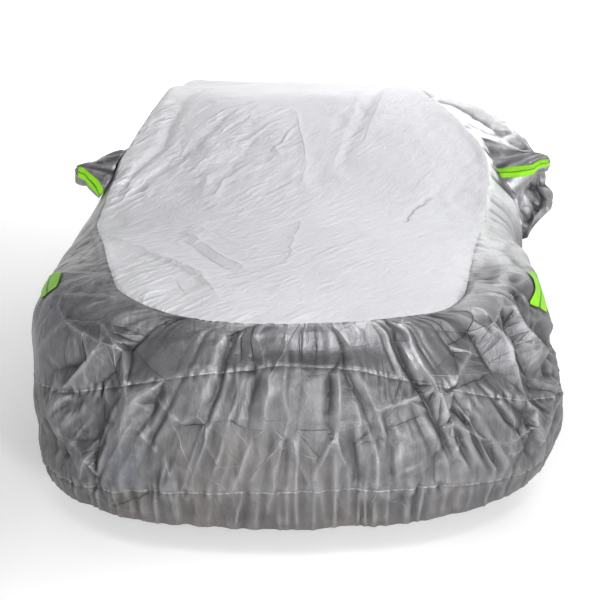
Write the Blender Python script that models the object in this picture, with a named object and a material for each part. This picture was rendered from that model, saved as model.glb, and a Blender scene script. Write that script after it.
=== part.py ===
"""Fitted cover of silver-coated cloth for a small saloon car, in the shape that it takes over the car.

The cover is a hollow shell. A top panel runs over the bonnet, windscreen, roof and boot lid. A skirt hangs
from its seam in three bands: an upper band, a lower band and a gathered band with the elastic hem. Pockets
stand out over the two door mirrors, and bright tapes are sewn to the pockets and to the front corners.
The cloth of the right front door is unzipped and drawn outwards over the open door.

Metres, +Z up, with the nose towards -Y. The tables measure "across" from the middle, "along" back from the
nose and "height" up from the ground. place() moves them to the part's origin, which lies under the roof.
"""

import math

import bmesh
import bpy
import numpy as np
from mathutils import Vector

# ------------------------------------------------------------------------------------- driving sizes
LENGTH = 4.45
HALF_WIDTH = {"left": 0.975, "right": 0.965}
NOSE_DEPTH = {"left": 0.65, "right": 0.75}
NOSE_POWER = {"left": 2.4, "right": 2.2}
TAIL_DEPTH = 0.55
TAIL_POWER = 2.3

ROOF_ALONG = 2.30
ROOF_HEIGHT = 1.455

CLOTH = 0.002
TAPE = 0.0012
GAP = 0.0003

HEM_HEIGHT = 0.196
HEM_INSET = 0.024
LOW_SEAM_INSET = 0.004

# Where pieces end: distances along the car, and one join in the front band by its distance across.
FRONT_JOIN = 1.30
DOOR_END = 2.30
REAR_JOIN = 3.75
BAND_JOIN = 0.43
MOUTH = {"left": (1.24, 1.42), "right": (1.24, 1.48)}
FENDER_TAPE = {"left": (0.50, 0.72), "right": (0.62, 0.84)}

# Levels of the skirt, counted down from the top panel's seam.
SEAM, TAPE_TOP, TAPE_FOOT, BELT, BUMPER, LOW_SEAM, HEM = range(7)
MOUTH_LEVELS = (0.25, 1.0)
LEVELS = (0.0, 0.25, 0.625, 1.0, 1.5, 2.0, 2.5, 3.0, 3.5, 4.0, 4.5, 5.0, 5.5, 6.0)

# Stations round half of the cover, from the middle of the nose to the middle of the tail: angles in
# degrees on the rounded ends, and distances along the straight side between them.
NOSE_TURNS = (0, 18, 36, 52, 70, 90)
SIDE_STOPS = (1.06, 1.30, 1.66, 2.30, 3.05, 3.45)
TAIL_TURNS = (90, 52, 26, 0)
COLUMNS_BETWEEN = (5, 4, 4, 4, 5, 6, 4, 6, 5, 5, 3, 3, 3)
HOOD_CORNER = 3
TAIL_CORNER = 13

# The top panel's seam at each station. Across is a distance from the middle on both sides.
SEAM_LINE = (
    # left: across, along, height; right: across, along, height
    (0.000, 0.100, 0.850, 0.000, 0.100, 0.850),
    (0.290, 0.108, 0.858, 0.262, 0.132, 0.856),
    (0.470, 0.205, 0.868, 0.425, 0.196, 0.860),
    (0.600, 0.330, 0.882, 0.510, 0.320, 0.864),
    (0.655, 0.450, 0.922, 0.570, 0.500, 0.885),
    (0.718, 0.670, 0.968, 0.650, 0.730, 0.968),
    (0.800, 1.060, 1.012, 0.750, 1.050, 1.020),
    (0.735, 1.300, 1.200, 0.800, 1.285, 1.205),
    (0.632, 1.680, 1.405, 0.630, 1.670, 1.415),
    (0.605, 2.300, 1.442, 0.605, 2.300, 1.442),
    (0.560, 3.050, 1.430, 0.560, 3.050, 1.430),
    (0.640, 3.450, 1.235, 0.640, 3.450, 1.235),
    (0.705, 3.880, 1.075, 0.705, 3.880, 1.075),
    (0.585, 4.210, 1.040, 0.585, 4.210, 1.040),
    (0.300, 4.320, 1.026, 0.300, 4.320, 1.026),
    (0.000, 4.345, 1.020, 0.000, 4.345, 1.020),
)

# The skirt's other levels at each station, inset from the widest outline.
SECTIONS = (
    # tape top: left and right inset, height; tape foot: the same; belt: inset, left and right height;
    # bumper height; low seam height
    (0.108, 0.100, 0.812, 0.078, 0.088, 0.772, 0.045, 0.735, 0.735, 0.525, 0.335),
    (0.110, 0.102, 0.818, 0.078, 0.088, 0.768, 0.040, 0.700, 0.668, 0.500, 0.322),
    (0.128, 0.120, 0.825, 0.076, 0.086, 0.752, 0.028, 0.615, 0.572, 0.450, 0.290),
    (0.128, 0.133, 0.836, 0.070, 0.093, 0.770, 0.016, 0.572, 0.515, 0.415, 0.265),
    (0.092, 0.116, 0.856, 0.044, 0.088, 0.798, 0.006, 0.562, 0.482, 0.400, 0.258),
    (0.066, 0.103, 0.874, 0.030, 0.086, 0.820, 0.000, 0.568, 0.490, 0.400, 0.262),
    (0.085, 0.108, 0.930, 0.040, 0.083, 0.862, 0.000, 0.580, 0.535, 0.410, 0.275),
    (0.145, 0.137, 1.055, 0.060, 0.070, 0.895, 0.000, 0.585, 0.585, 0.420, 0.288),
    (0.205, 0.197, 1.170, 0.074, 0.084, 0.925, 0.000, 0.600, 0.600, 0.430, 0.300),
    (0.220, 0.212, 1.185, 0.078, 0.088, 0.930, 0.000, 0.605, 0.605, 0.430, 0.300),
    (0.230, 0.222, 1.175, 0.082, 0.092, 0.935, 0.000, 0.610, 0.610, 0.430, 0.300),
    (0.165, 0.157, 1.090, 0.076, 0.086, 0.930, 0.000, 0.610, 0.610, 0.430, 0.300),
    (0.115, 0.107, 1.010, 0.058, 0.068, 0.910, 0.000, 0.610, 0.610, 0.430, 0.300),
    (0.110, 0.110, 0.985, 0.054, 0.054, 0.900, 0.004, 0.620, 0.620, 0.435, 0.302),
    (0.108, 0.108, 0.978, 0.054, 0.054, 0.905, 0.006, 0.640, 0.640, 0.440, 0.305),
    (0.106, 0.106, 0.975, 0.054, 0.054, 0.910, 0.008, 0.650, 0.650, 0.440, 0.305),
)

# Levels that don't follow the sections, each as across, along and height. At the front edge of the right
# door the pocket draws the side cloth out, and behind it the door's own cloth lies over the open door.
DRAWN_OUT = {
    # station: {level: point}
    7: {TAPE_TOP: (0.920, 1.265, 1.055), TAPE_FOOT: (0.950, 1.255, 0.900)},
}
DOOR_CLOTH = {
    7: {TAPE_TOP: (0.920, 1.265, 1.055), TAPE_FOOT: (0.985, 1.350, 0.930), BELT: (0.995, 1.370, 0.740)},
    8: {TAPE_TOP: (0.910, 1.620, 1.318), TAPE_FOOT: (1.065, 1.520, 1.160), BELT: (1.140, 1.450, 0.955)},
    9: {TAPE_TOP: (0.790, 2.120, 1.270), TAPE_FOOT: (1.030, 1.920, 1.140), BELT: (1.100, 1.750, 1.000)},
}
DOOR_STATION = 7
DOOR_BLEND = 0.10

# Height of the top panel along its middle, from the front seam to the tail seam.
MIDDLE = (
    # along, height
    (0.100, 0.850),
    (0.400, 0.905),
    (0.700, 0.975),
    (1.060, 1.045),
    (1.300, 1.190),
    (1.680, 1.420),
    (1.950, 1.450),
    (2.300, 1.460),
    (2.700, 1.452),
    (3.050, 1.418),
    (3.450, 1.255),
    (3.880, 1.095),
    (4.210, 1.060),
    (4.345, 1.020),
)
ARCH_POWER = 2.4
END_REACH = 0.8

# Main folds. A positive rise stands proud and a negative one is a trough. Round is the distance along the
# outline from the middle of the nose, negative on the left.
SKIRT_FOLDS = (
    # start: round, height; end: round, height; width, rise
    (0.290, 0.850, 0.330, 0.720, 0.045, 0.014),
    (0.330, 0.720, 0.445, 0.480, 0.045, 0.017),
    (0.230, 0.820, 0.360, 0.500, 0.045, -0.013),
    (0.130, 0.840, 0.190, 0.700, 0.040, -0.009),
    (0.055, 0.845, 0.112, 0.719, 0.040, 0.010),
    (-0.075, 0.850, -0.074, 0.735, 0.040, 0.010),
    (-0.160, 0.840, -0.165, 0.690, 0.045, -0.010),
    (-0.245, 0.840, -0.265, 0.700, 0.045, 0.013),
    (-0.335, 0.840, -0.350, 0.640, 0.045, -0.011),
    (-0.474, 0.858, -0.489, 0.799, 0.050, -0.015),
    (-0.489, 0.799, -0.603, 0.740, 0.050, -0.018),
    (-0.894, 0.803, -0.690, 0.756, 0.045, 0.019),
    (-0.690, 0.756, -0.603, 0.750, 0.045, 0.014),
    (-0.708, 0.830, -0.620, 0.765, 0.040, 0.012),
    (-0.894, 0.803, -0.993, 0.700, 0.045, 0.017),
    (-0.690, 0.756, -0.825, 0.613, 0.045, 0.017),
    (-0.800, 0.720, -0.930, 0.600, 0.050, -0.016),
    (-0.483, 0.633, -0.387, 0.550, 0.045, 0.013),
    (-0.528, 0.540, -0.456, 0.420, 0.045, 0.013),
    (-0.600, 0.600, -0.560, 0.330, 0.055, -0.014),
    (-0.720, 0.520, -0.660, 0.260, 0.050, 0.014),
    (-0.840, 0.500, -0.780, 0.240, 0.050, -0.014),
    (-0.303, 0.528, 0.202, 0.524, 0.035, 0.013),
    (-0.300, 0.450, 0.200, 0.446, 0.040, -0.010),
    (0.050, 0.500, -0.040, 0.240, 0.042, 0.013),
    (-0.120, 0.490, -0.190, 0.220, 0.045, -0.011),
    (0.160, 0.490, 0.150, 0.220, 0.045, -0.011),
    (0.270, 0.500, 0.250, 0.220, 0.045, 0.012),
    (0.601, 0.824, 0.673, 0.701, 0.045, 0.015),
    (0.673, 0.701, 0.772, 0.549, 0.045, 0.017),
    (0.832, 0.857, 0.832, 0.783, 0.045, 0.014),
    (0.832, 0.783, 0.940, 0.658, 0.045, 0.019),
    (0.720, 0.800, 0.860, 0.600, 0.050, -0.018),
    (0.490, 0.810, 0.570, 0.620, 0.050, -0.014),
    (0.980, 0.873, 1.110, 0.898, 0.045, 0.012),
    (0.538, 0.600, 0.520, 0.512, 0.045, 0.012),
    (0.520, 0.512, 0.541, 0.300, 0.045, 0.013),
    (0.640, 0.500, 0.660, 0.270, 0.055, -0.014),
    (0.772, 0.560, 0.930, 0.420, 0.045, 0.014),
    (0.830, 0.450, 0.860, 0.260, 0.055, -0.014),
    (1.915, 1.040, 1.800, 0.830, 0.040, 0.012),
    (1.850, 1.040, 1.720, 0.850, 0.040, -0.010),
    (1.785, 1.035, 1.640, 0.870, 0.040, 0.010),
)
DOOR_FOLDS = (
    # start: round, height; end: round, height; width, rise
    (2.280, 1.345, 2.270, 1.250, 0.045, -0.016),
    (2.020, 1.245, 2.280, 1.200, 0.045, -0.014),
    (2.100, 1.290, 2.290, 1.160, 0.040, 0.014),
    (2.120, 1.020, 2.144, 0.917, 0.040, 0.014),
    (2.144, 0.917, 2.057, 0.821, 0.040, 0.012),
    (2.290, 1.035, 2.230, 0.900, 0.040, -0.012),
)
TOP_FOLDS = (
    # start: across, along; end: across, along; width, rise
    (-0.560, 2.000, -0.627, 1.348, 0.050, 0.014),
    (-0.627, 1.348, -0.775, 1.080, 0.045, 0.014),
    (-0.480, 1.950, -0.590, 1.330, 0.045, -0.011),
    (-0.400, 2.000, -0.545, 1.351, 0.050, 0.012),
    (-0.545, 1.351, -0.690, 1.040, 0.050, 0.012),
    (-0.280, 1.900, -0.430, 1.180, 0.055, 0.010),
    (-0.242, 1.220, -0.138, 1.356, 0.045, 0.010),
    (0.006, 1.617, 0.024, 1.329, 0.040, 0.008),
    (0.024, 1.329, -0.041, 1.016, 0.040, 0.008),
    (0.500, 2.300, 0.237, 1.488, 0.050, 0.014),
    (0.237, 1.488, 0.136, 1.269, 0.045, 0.012),
    (0.711, 1.231, 0.604, 1.159, 0.050, -0.016),
    (0.604, 1.159, 0.487, 1.057, 0.050, -0.014),
    (0.730, 1.094, 0.608, 0.952, 0.050, -0.012),
    (0.363, 0.747, 0.475, 0.983, 0.040, 0.009),
    (-0.740, 0.860, -0.506, 0.586, 0.050, -0.012),
    (-0.506, 0.586, -0.355, 0.438, 0.045, -0.010),
    (-0.389, 0.487, -0.280, 0.260, 0.055, -0.010),
    (-0.450, 2.250, -0.100, 2.750, 0.070, -0.010),
    (0.420, 2.950, 0.120, 2.550, 0.070, -0.010),
    (-0.500, 3.050, -0.330, 3.750, 0.070, 0.015),
    (-0.220, 3.150, -0.120, 3.850, 0.065, -0.012),
    (0.060, 3.100, 0.100, 3.800, 0.065, 0.010),
    (0.480, 3.050, 0.350, 3.800, 0.070, 0.015),
    (0.250, 3.250, 0.480, 4.050, 0.070, -0.012),
)
EDGE_FADE = 0.14

# Soft pleats that repeat along the sides and the tail, where the cloth falls from the shoulder.
PLEAT_PITCH = 0.40
PLEAT_RISE = 0.012
PLEAT_START = 1.75
PLEAT_FADE = 0.45

# Mirror pockets: the middle of the tip, its half depth and half height, the turn of the tip about the
# vertical, and the rings from the mouth to the tip as shares of the way out and of the full section.
POCKETS = {
    # side: tip, half depth, half height, turn in degrees
    "left": ((-0.945, 1.330, 1.130), 0.072, 0.052, -8.0),
    "right": ((1.030, 1.230, 1.185), 0.085, 0.056, 22.0),
}
POCKET_RINGS = ((0.22, 1.02), (0.50, 1.04), (0.78, 0.94), (0.93, 0.74), (1.0, 0.38))
POCKET_TAPE_RINGS = (1, 2, 3)
POCKET_TAPE_HEIGHTS = {"left": (-0.05, 0.0), "right": (0.0, 0.03)}
POCKET_END_CROWN = 0.008
MOUTH_HALF_DEPTH = 0.105
MOUTH_HALF_HEIGHT = 0.060
MOUTH_SLOPE = 0.62

# Points of the hollow from which faces are seen to look outwards: level with the doors, except near the ends.
TAIL_ZONE = 1.2
MIDDLE_DEPTH = 0.8

SILVER = (0.42, 0.42, 0.44)
PALE_SILVER = (0.72, 0.72, 0.74)
BRIGHT_GREEN = (0.24, 0.80, 0.02)


# ------------------------------------------------------------------------------------------- helpers
def place(across, along, height):
    return np.array((across, along - ROOF_ALONG, height - ROOF_HEIGHT))


def unit(vectors):
    return vectors / np.maximum(np.linalg.norm(vectors, axis=-1, keepdims=True), 1e-12)


def fade(distance, reach):
    """1 at no distance, falling smoothly to 0 at `reach`."""
    share = np.clip(1 - distance / reach, 0, 1)
    return share * share * (3 - 2 * share)


def smooth_curve(knots, values, where):
    """Reads a smooth curve through `values` at uneven `knots`."""
    gaps = np.diff(knots)
    steps = np.diff(values, axis=0) / gaps[:, None]
    slopes = np.concatenate([
        steps[:1],
        (steps[:-1] * gaps[1:, None] + steps[1:] * gaps[:-1, None]) / (gaps[:-1] + gaps[1:])[:, None],
        steps[-1:],
    ])
    where = np.clip(where, knots[0], knots[-1])
    i = np.clip(np.searchsorted(knots, where, side="right") - 1, 0, len(gaps) - 1)
    gap = gaps[i][:, None]
    t = (where - knots[i])[:, None] / gap
    return (
        values[i] * (1 + 2 * t) * (1 - t) ** 2
        + slopes[i] * gap * t * (1 - t) ** 2
        + values[i + 1] * t * t * (3 - 2 * t)
        - slopes[i + 1] * gap * t * t * (1 - t)
    )


# ------------------------------------------------------------------------------ stations of the skirt
def rounded_end(turn, half_width, depth, power):
    """Point and outward direction on a rounded nose, for the right side, measured from the nose."""
    angle = math.radians(turn)
    sine, cosine = math.sin(angle), max(math.cos(angle), 0.0)
    point = np.array((half_width * sine ** (2 / power), depth * (1 - cosine ** (2 / power))))
    outward = np.array((sine ** (2 - 2 / power) / half_width, -(cosine ** (2 - 2 / power)) / depth))
    return point, unit(outward)


def outline(side):
    """Points and outward directions in plan at all the stations of one side."""
    half_width = HALF_WIDTH[side]
    nose = [rounded_end(turn, half_width, NOSE_DEPTH[side], NOSE_POWER[side]) for turn in NOSE_TURNS]
    straight = [(np.array((half_width, along)), np.array((1.0, 0.0))) for along in SIDE_STOPS]
    tail = [rounded_end(turn, half_width, TAIL_DEPTH, TAIL_POWER) for turn in TAIL_TURNS]
    tail = [(np.array((point[0], LENGTH - point[1])), outward * (1, -1)) for point, outward in tail]
    rows = nose + straight + tail
    return np.array([row[0] for row in rows]), np.array([row[1] for row in rows])


def half_skirt(side):
    """The seven levels of every station on one side, before it is mirrored to the left."""
    points, outwards = outline(side)
    pick = ("left", "right").index(side)
    rows = []
    for point, outward, seam, section in zip(points, outwards, SEAM_LINE, SECTIONS):
        *tape_top_insets, tape_top = section[0:3]
        *tape_foot_insets, tape_foot = section[3:6]
        belt_inset, *belt_heights = section[6:9]
        insets = (tape_top_insets[pick], tape_foot_insets[pick], belt_inset, 0.0, LOW_SEAM_INSET, HEM_INSET)
        heights = (tape_top, tape_foot, belt_heights[pick], *section[9:], HEM_HEIGHT)
        levels = [place(*seam[3 * pick:3 * pick + 3])]
        for inset, height in zip(insets, heights):
            levels.append(place(*(point - inset * outward), height))
        rows.append(levels)
    return np.array(rows)


def round_distances():
    """Distance of each station from the middle of the nose, round the mean of the two sides."""
    points = (outline("left")[0] + outline("right")[0]) / 2
    return np.concatenate([[0], np.cumsum(np.linalg.norm(np.diff(points, axis=0), axis=1))])


def whole_skirt(moved):
    """All the stations from the middle of the tail, round the left side, nose and right side, and back."""
    left = half_skirt("left") * (-1, 1, 1)
    right = half_skirt("right")
    for station, levels in moved.items():
        for level, point in levels.items():
            right[station, level] = place(*point)
    return np.concatenate([left[:0:-1], right])


HALF_ROUND = round_distances()
KNOTS = np.concatenate([-HALF_ROUND[:0:-1], HALF_ROUND])
SKIRT_STATIONS = whole_skirt(DRAWN_OUT)
DOOR_STATIONS = whole_skirt(DOOR_CLOTH)
STRAIGHT_START = HALF_ROUND[len(NOSE_TURNS)] - SIDE_STOPS[0]


def round_at(along):
    """Distance round to a point of the straight side."""
    return STRAIGHT_START + along


def column_lines():
    """Distances round of the grid lines on the right half. The tail's lines answer to those of the nose."""
    lines = [0.0]
    for start, end, count in zip(HALF_ROUND[:-1], HALF_ROUND[1:], COLUMNS_BETWEEN):
        lines.extend(start + (end - start) * step / count for step in range(1, count + 1))
    nose = np.array(lines[:sum(COLUMNS_BETWEEN[:HOOD_CORNER]) + 1]) / HALF_ROUND[HOOD_CORNER]
    tail = HALF_ROUND[-1] + (HALF_ROUND[TAIL_CORNER] - HALF_ROUND[-1]) * nose[-2::-1]
    return np.concatenate([lines, tail])


HALF_COLUMNS = column_lines()


def nearest_line(around):
    return float(HALF_COLUMNS[np.argmin(np.abs(HALF_COLUMNS - around))])


def lines_between(start, end):
    """The grid lines from one distance round to another, both included."""
    return HALF_COLUMNS[(HALF_COLUMNS >= nearest_line(start)) & (HALF_COLUMNS <= nearest_line(end))]


# ------------------------------------------------------------------------------------------- surfaces
def surface_through(stations, around, level):
    """Points of a smooth surface through the levels of all the stations, by distance round and level."""
    rows = smooth_curve(KNOTS, stations.reshape(len(stations), -1), around)
    rows = rows.reshape(-1, HEM + 1, 3)
    i = np.clip(level.astype(int), SEAM, HEM - 1)
    t = (level - i)[:, None]
    pick = np.arange(len(level))
    points = [rows[pick, np.clip(i + step, SEAM, HEM)] for step in (-1, 0, 1, 2)]
    gaps = [np.linalg.norm(after - before, axis=1)[:, None] for before, after in zip(points, points[1:])]
    step = points[2] - points[1]
    slopes = []
    for near, far, gap in ((points[1], points[0], gaps[0]), (points[2], points[3], gaps[2])):
        turned = (near - far) * (1 if far is points[0] else -1)
        mixed = (step * gap / gaps[1] + turned * gaps[1] / np.maximum(gap, 1e-9)) / (gaps[1] + gap)
        slopes.append(np.where(gap > 1e-9, mixed * gaps[1], step))
    return (
        points[1] * (1 + 2 * t) * (1 - t) ** 2
        + slopes[0] * t * (1 - t) ** 2
        + points[2] * t * t * (3 - 2 * t)
        - slopes[1] * t * t * (1 - t)
    )


def skirt_surface(around, level):
    """Points of the skirt without folds."""
    return surface_through(SKIRT_STATIONS, around, level)


def door_surface(around, level):
    """Points of the right door's cloth. Above the slit its front edge is that of the skirt."""
    joined = fade(around - HALF_ROUND[DOOR_STATION], DOOR_BLEND) * fade(np.maximum(level - TAPE_TOP, 0), 0.5)
    loose = surface_through(DOOR_STATIONS, around, level)
    return loose + (skirt_surface(around, level) - loose) * joined[:, None]


def seam_points(around):
    return skirt_surface(around, np.zeros_like(around))


def arched(around, share):
    """Points between the two side seams, arched up to the middle's height."""
    left, right = seam_points(-around), seam_points(around)
    mix = ((share + 1) / 2)[:, None]
    points = left * (1 - mix) + right * mix
    table = np.array(MIDDLE)
    middle = smooth_curve(table[:, 0], table[:, 1:], points[:, 1] + ROOF_ALONG)[:, 0] - ROOF_HEIGHT
    points[:, 2] += (middle - (left[:, 2] + right[:, 2]) / 2) * (1 - np.abs(share) ** ARCH_POWER)
    return points


def top_surface(around, share):
    """Points of the top panel without folds: `around` picks the row, and `share` runs from -1 to 1 across."""
    points = arched(around, share)
    for corner, middle in ((HOOD_CORNER, 0), (TAIL_CORNER, -1)):
        corner_round, middle_round = HALF_ROUND[corner], HALF_ROUND[middle]
        end_round = middle_round + (corner_round - middle_round) * np.abs(share)
        end = seam_points(np.where(share < 0, -1, 1) * end_round)
        chord = arched(np.full_like(around, corner_round), share)
        points += (end - chord) * fade(np.abs(around - corner_round), END_REACH)[:, None]
    return points


# ---------------------------------------------------------------------------------------------- folds
def folds_at(folds, first, second):
    """Height of all the straight folds of a table at points given by the table's two coordinates."""
    total = np.zeros_like(first)
    for start_first, start_second, end_first, end_second, width, rise in folds:
        run = np.array((end_first - start_first, end_second - start_second))
        share = np.clip(((first - start_first) * run[0] + (second - start_second) * run[1]) / (run @ run), 0, 1)
        off = np.hypot(first - start_first - share * run[0], second - start_second - share * run[1])
        taper = 0.4 + 0.6 * np.sin(math.pi * share)
        total += rise * taper * np.exp(-((off / width) ** 2))
    return total


def pleats_at(around, height):
    along_side = np.clip((np.abs(around) - PLEAT_START) / PLEAT_FADE, 0, 1)
    below_seam = np.clip((1.25 - height) / 0.35, 0, 1)
    above_hem = np.clip((height - HEM_HEIGHT) / 0.25, 0, 1)
    before_tail = np.clip((HALF_ROUND[-1] - np.abs(around)) / PLEAT_FADE, 0, 1)
    wander = 0.35 * np.sin(1.7 * around) + 0.5 * height * np.sin(0.9 * around)
    wave = np.sin(2 * math.pi * (around / PLEAT_PITCH + wander))
    return PLEAT_RISE * wave * along_side * before_tail * below_seam * above_hem


def skirt_rise(around, height):
    return folds_at(SKIRT_FOLDS, around, height) + pleats_at(around, height)


def door_rise(around, height):
    return folds_at(DOOR_FOLDS, around, height)


def top_rise(points):
    """Rise of the top panel's folds, which pass into the skirt's folds near the seam."""
    seam_round = np.concatenate([-HALF_COLUMNS[:0:-1], HALF_COLUMNS])
    seam = seam_points(seam_round)
    away = np.linalg.norm(points[:, None] - seam[None], axis=2)
    nearest = np.argmin(away, axis=1)
    near = fade(away.min(axis=1), EDGE_FADE)
    own = folds_at(TOP_FOLDS, points[:, 0], points[:, 1] + ROOF_ALONG)
    at_seam = skirt_rise(seam_round, seam[:, 2] + ROOF_HEIGHT)[nearest]
    return own * (1 - near) + at_seam * near


# ------------------------------------------------------------------------- the whole form, in one mesh
PIECES = (
    "top_panel",
    "front_upper", "front_lower", "front_lower_end", "front_hem",
    "left_upper", "left_lower", "left_hem",
    "right_door_cloth",
    "right_rear_upper", "right_rear_lower", "right_rear_hem",
    "rear_upper", "rear_lower", "rear_hem",
    "mirror_pocket_left", "mirror_pocket_right",
)
TAPES = ("pocket_tape_left", "pocket_tape_right", "fender_tape_left", "fender_tape_right")
NOTHING = -1
SIDES = {"left": -1, "right": 1}


def skirt_piece(around, level):
    """Which piece a cell of the skirt belongs to, by the middle of the cell. The open door leaves a gap."""
    band = "upper" if level < BELT else "lower" if level < LOW_SEAM else "hem"
    if abs(around) < nearest_line(round_at(FRONT_JOIN)):
        if band == "lower" and around > nearest_line(BAND_JOIN):
            return "front_lower_end"
        return "front_" + band
    if abs(around) > nearest_line(round_at(REAR_JOIN)):
        return "rear_" + band
    if around < 0:
        return "left_" + band
    return "right_rear_" + band if around > nearest_line(round_at(DOOR_END)) else None


def fender_tape(around, level):
    """Which tape lies over a cell of the skirt, if any."""
    side = "left" if around < 0 else "right"
    start, end = (nearest_line(round_at(along)) for along in FENDER_TAPE[side])
    if TAPE_TOP < level < TAPE_FOOT and start < abs(around) < end:
        return "fender_tape_" + side
    return None


def mouth_side(around, level):
    """-1 or 1 in the mouth of the left or right mirror pocket, and 0 elsewhere."""
    side = "left" if around < 0 else "right"
    start, end = (nearest_line(round_at(along)) for along in MOUTH[side])
    if start < abs(around) < end and MOUTH_LEVELS[0] < level < MOUTH_LEVELS[1]:
        return SIDES[side]
    return 0


def level_height(root):
    """Height of a point of the mouth's rim above the middle line of the mouth, which rises backwards."""
    return root.z - MOUTH_SLOPE * root.y


class Form:
    """The inner face of the whole cover as one mesh. Cells and points carry what the pieces are made from."""

    def __init__(self):
        self.mesh = bmesh.new()
        self.piece = self.mesh.faces.layers.int.new("piece")
        self.tape = self.mesh.faces.layers.int.new("tape")
        self.mouth = self.mesh.faces.layers.int.new("mouth")
        self.rise = self.mesh.verts.layers.float.new("rise")
        self.root = self.mesh.verts.layers.float_vector.new("root")
        self.out = self.mesh.verts.layers.float_vector.new("out")
        self.number = self.mesh.verts.layers.int.new("number")

    def add_grid(self, columns, rows, surface, rises, describe):
        """Adds a grid of cells on a surface. `describe` gives each cell's piece, tape and mouth."""
        grid = bmesh.ops.create_grid(self.mesh, x_segments=len(columns) - 1, y_segments=len(rows) - 1, size=1.0)
        spots = {}
        for vert in grid["verts"]:
            column = round((vert.co.x + 1) / 2 * (len(columns) - 1))
            row = round((vert.co.y + 1) / 2 * (len(rows) - 1))
            spots[vert] = (column, row)
        where = np.array(list(spots.values()))
        first, second = np.asarray(columns)[where[:, 0]], np.asarray(rows)[where[:, 1]]
        points = surface(first, second)
        for vert, point, rise in zip(spots, points, rises(first, points)):
            vert.co = point
            vert[self.rise] = rise
        unused = []
        for face in {face for vert in spots for face in vert.link_faces}:
            column, row = np.mean([spots[vert] for vert in face.verts], axis=0)
            middle = np.interp(column, range(len(columns)), columns), np.interp(row, range(len(rows)), rows)
            piece, tape, mouth = describe(*middle)
            face[self.piece] = PIECES.index(piece) if piece else NOTHING
            face[self.tape] = TAPES.index(tape) if tape else NOTHING
            face[self.mouth] = mouth
            if not piece:
                unused.append(face)
        bmesh.ops.delete(self.mesh, geom=unused, context="FACES")

    def raise_folds(self):
        """Welds the grids together, turns the cells outwards and moves each point out by its rise."""
        bmesh.ops.remove_doubles(self.mesh, verts=self.mesh.verts[:], dist=2e-5)
        self.mesh.normal_update()
        for face in self.mesh.faces:
            centre = face.calc_center_median()
            away = Vector((centre.x, centre.y * (abs(centre.y) > TAIL_ZONE), centre.z + MIDDLE_DEPTH))
            if face.normal.dot(away) < 0:
                face.normal_flip()
        self.mesh.normal_update()
        outward = {vert: vert.normal.copy() for vert in self.mesh.verts}
        for vert, direction in outward.items():
            vert.co += direction * vert[self.rise]

    def grow_pocket(self, side):
        """Extrudes the rim of a mouth in the side cloth outwards, ring by ring, into a mirror pocket."""
        piece = PIECES.index("mirror_pocket_" + side)
        tip, half_depth, half_height, turn = POCKETS[side]
        tip = Vector(place(*tip))
        cells = [face for face in self.mesh.faces if face[self.mouth] == SIDES[side]]
        rim = [
            edge for edge in {edge for face in cells for edge in face.edges}
            if sum(face[self.mouth] == SIDES[side] for face in edge.link_faces) == 1
        ]
        roots = {vert for edge in rim for vert in edge.verts}
        centre = sum((vert.co for vert in roots), Vector()) / len(roots)
        for vert in roots:
            vert[self.root] = vert.co - centre
        bmesh.ops.delete(self.mesh, geom=cells, context="FACES")
        depth_way = Vector((-math.sin(math.radians(turn)), math.cos(math.radians(turn)), 0.0))
        edges = rim
        for ring, (share, size) in enumerate(POCKET_RINGS):
            grown = bmesh.ops.extrude_edge_only(self.mesh, edges=edges)["geom"]
            for face in (item for item in grown if isinstance(item, bmesh.types.BMFace)):
                face[self.piece] = piece
                face[self.tape] = self.pocket_tape(face, side) if ring in POCKET_TAPE_RINGS else NOTHING
                face[self.mouth] = 0
            edges = [item for item in grown if isinstance(item, bmesh.types.BMEdge)]
            middle = centre.lerp(tip, share)
            for vert in (item for item in grown if isinstance(item, bmesh.types.BMVert)):
                root = vert[self.root]
                angle = math.atan2(level_height(root) / MOUTH_HALF_HEIGHT, root.y / MOUTH_HALF_DEPTH)
                section = depth_way * (half_depth * math.cos(angle)) + Vector((0, 0, half_height * math.sin(angle)))
                vert.co = middle + root.lerp(section, min(1.0, share * 1.6)) * size
        end = bmesh.ops.edgeloop_fill(self.mesh, edges=edges)["faces"]
        for face in end:
            face[self.piece] = piece
            face[self.tape] = NOTHING
            face[self.mouth] = 0
        peak = bmesh.ops.poke(self.mesh, faces=end)["verts"]
        for vert in peak:
            vert.co += (tip - centre).normalized() * POCKET_END_CROWN

    def pocket_tape(self, face, side):
        """The tape's number where a pocket's cell faces forwards at the tape's height, and otherwise nothing."""
        heights = [level_height(vert[self.root]) for vert in face.verts]
        fore = max(vert[self.root].y for vert in face.verts)
        low, high = POCKET_TAPE_HEIGHTS[side]
        at_height = low < sum(heights) / len(heights) < high
        faces_forwards = fore < -MOUTH_HALF_DEPTH / 2
        return TAPES.index("pocket_tape_" + side) if faces_forwards and at_height else NOTHING

    def finish(self):
        """Splits the cells into triangles and keeps the shared outward direction at each point."""
        bmesh.ops.recalc_face_normals(self.mesh, faces=self.mesh.faces[:])
        bmesh.ops.triangulate(self.mesh, faces=self.mesh.faces[:], quad_method="FIXED")
        self.mesh.normal_update()
        for number, vert in enumerate(self.mesh.verts):
            vert[self.out] = vert.normal
            vert[self.number] = number


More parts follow.
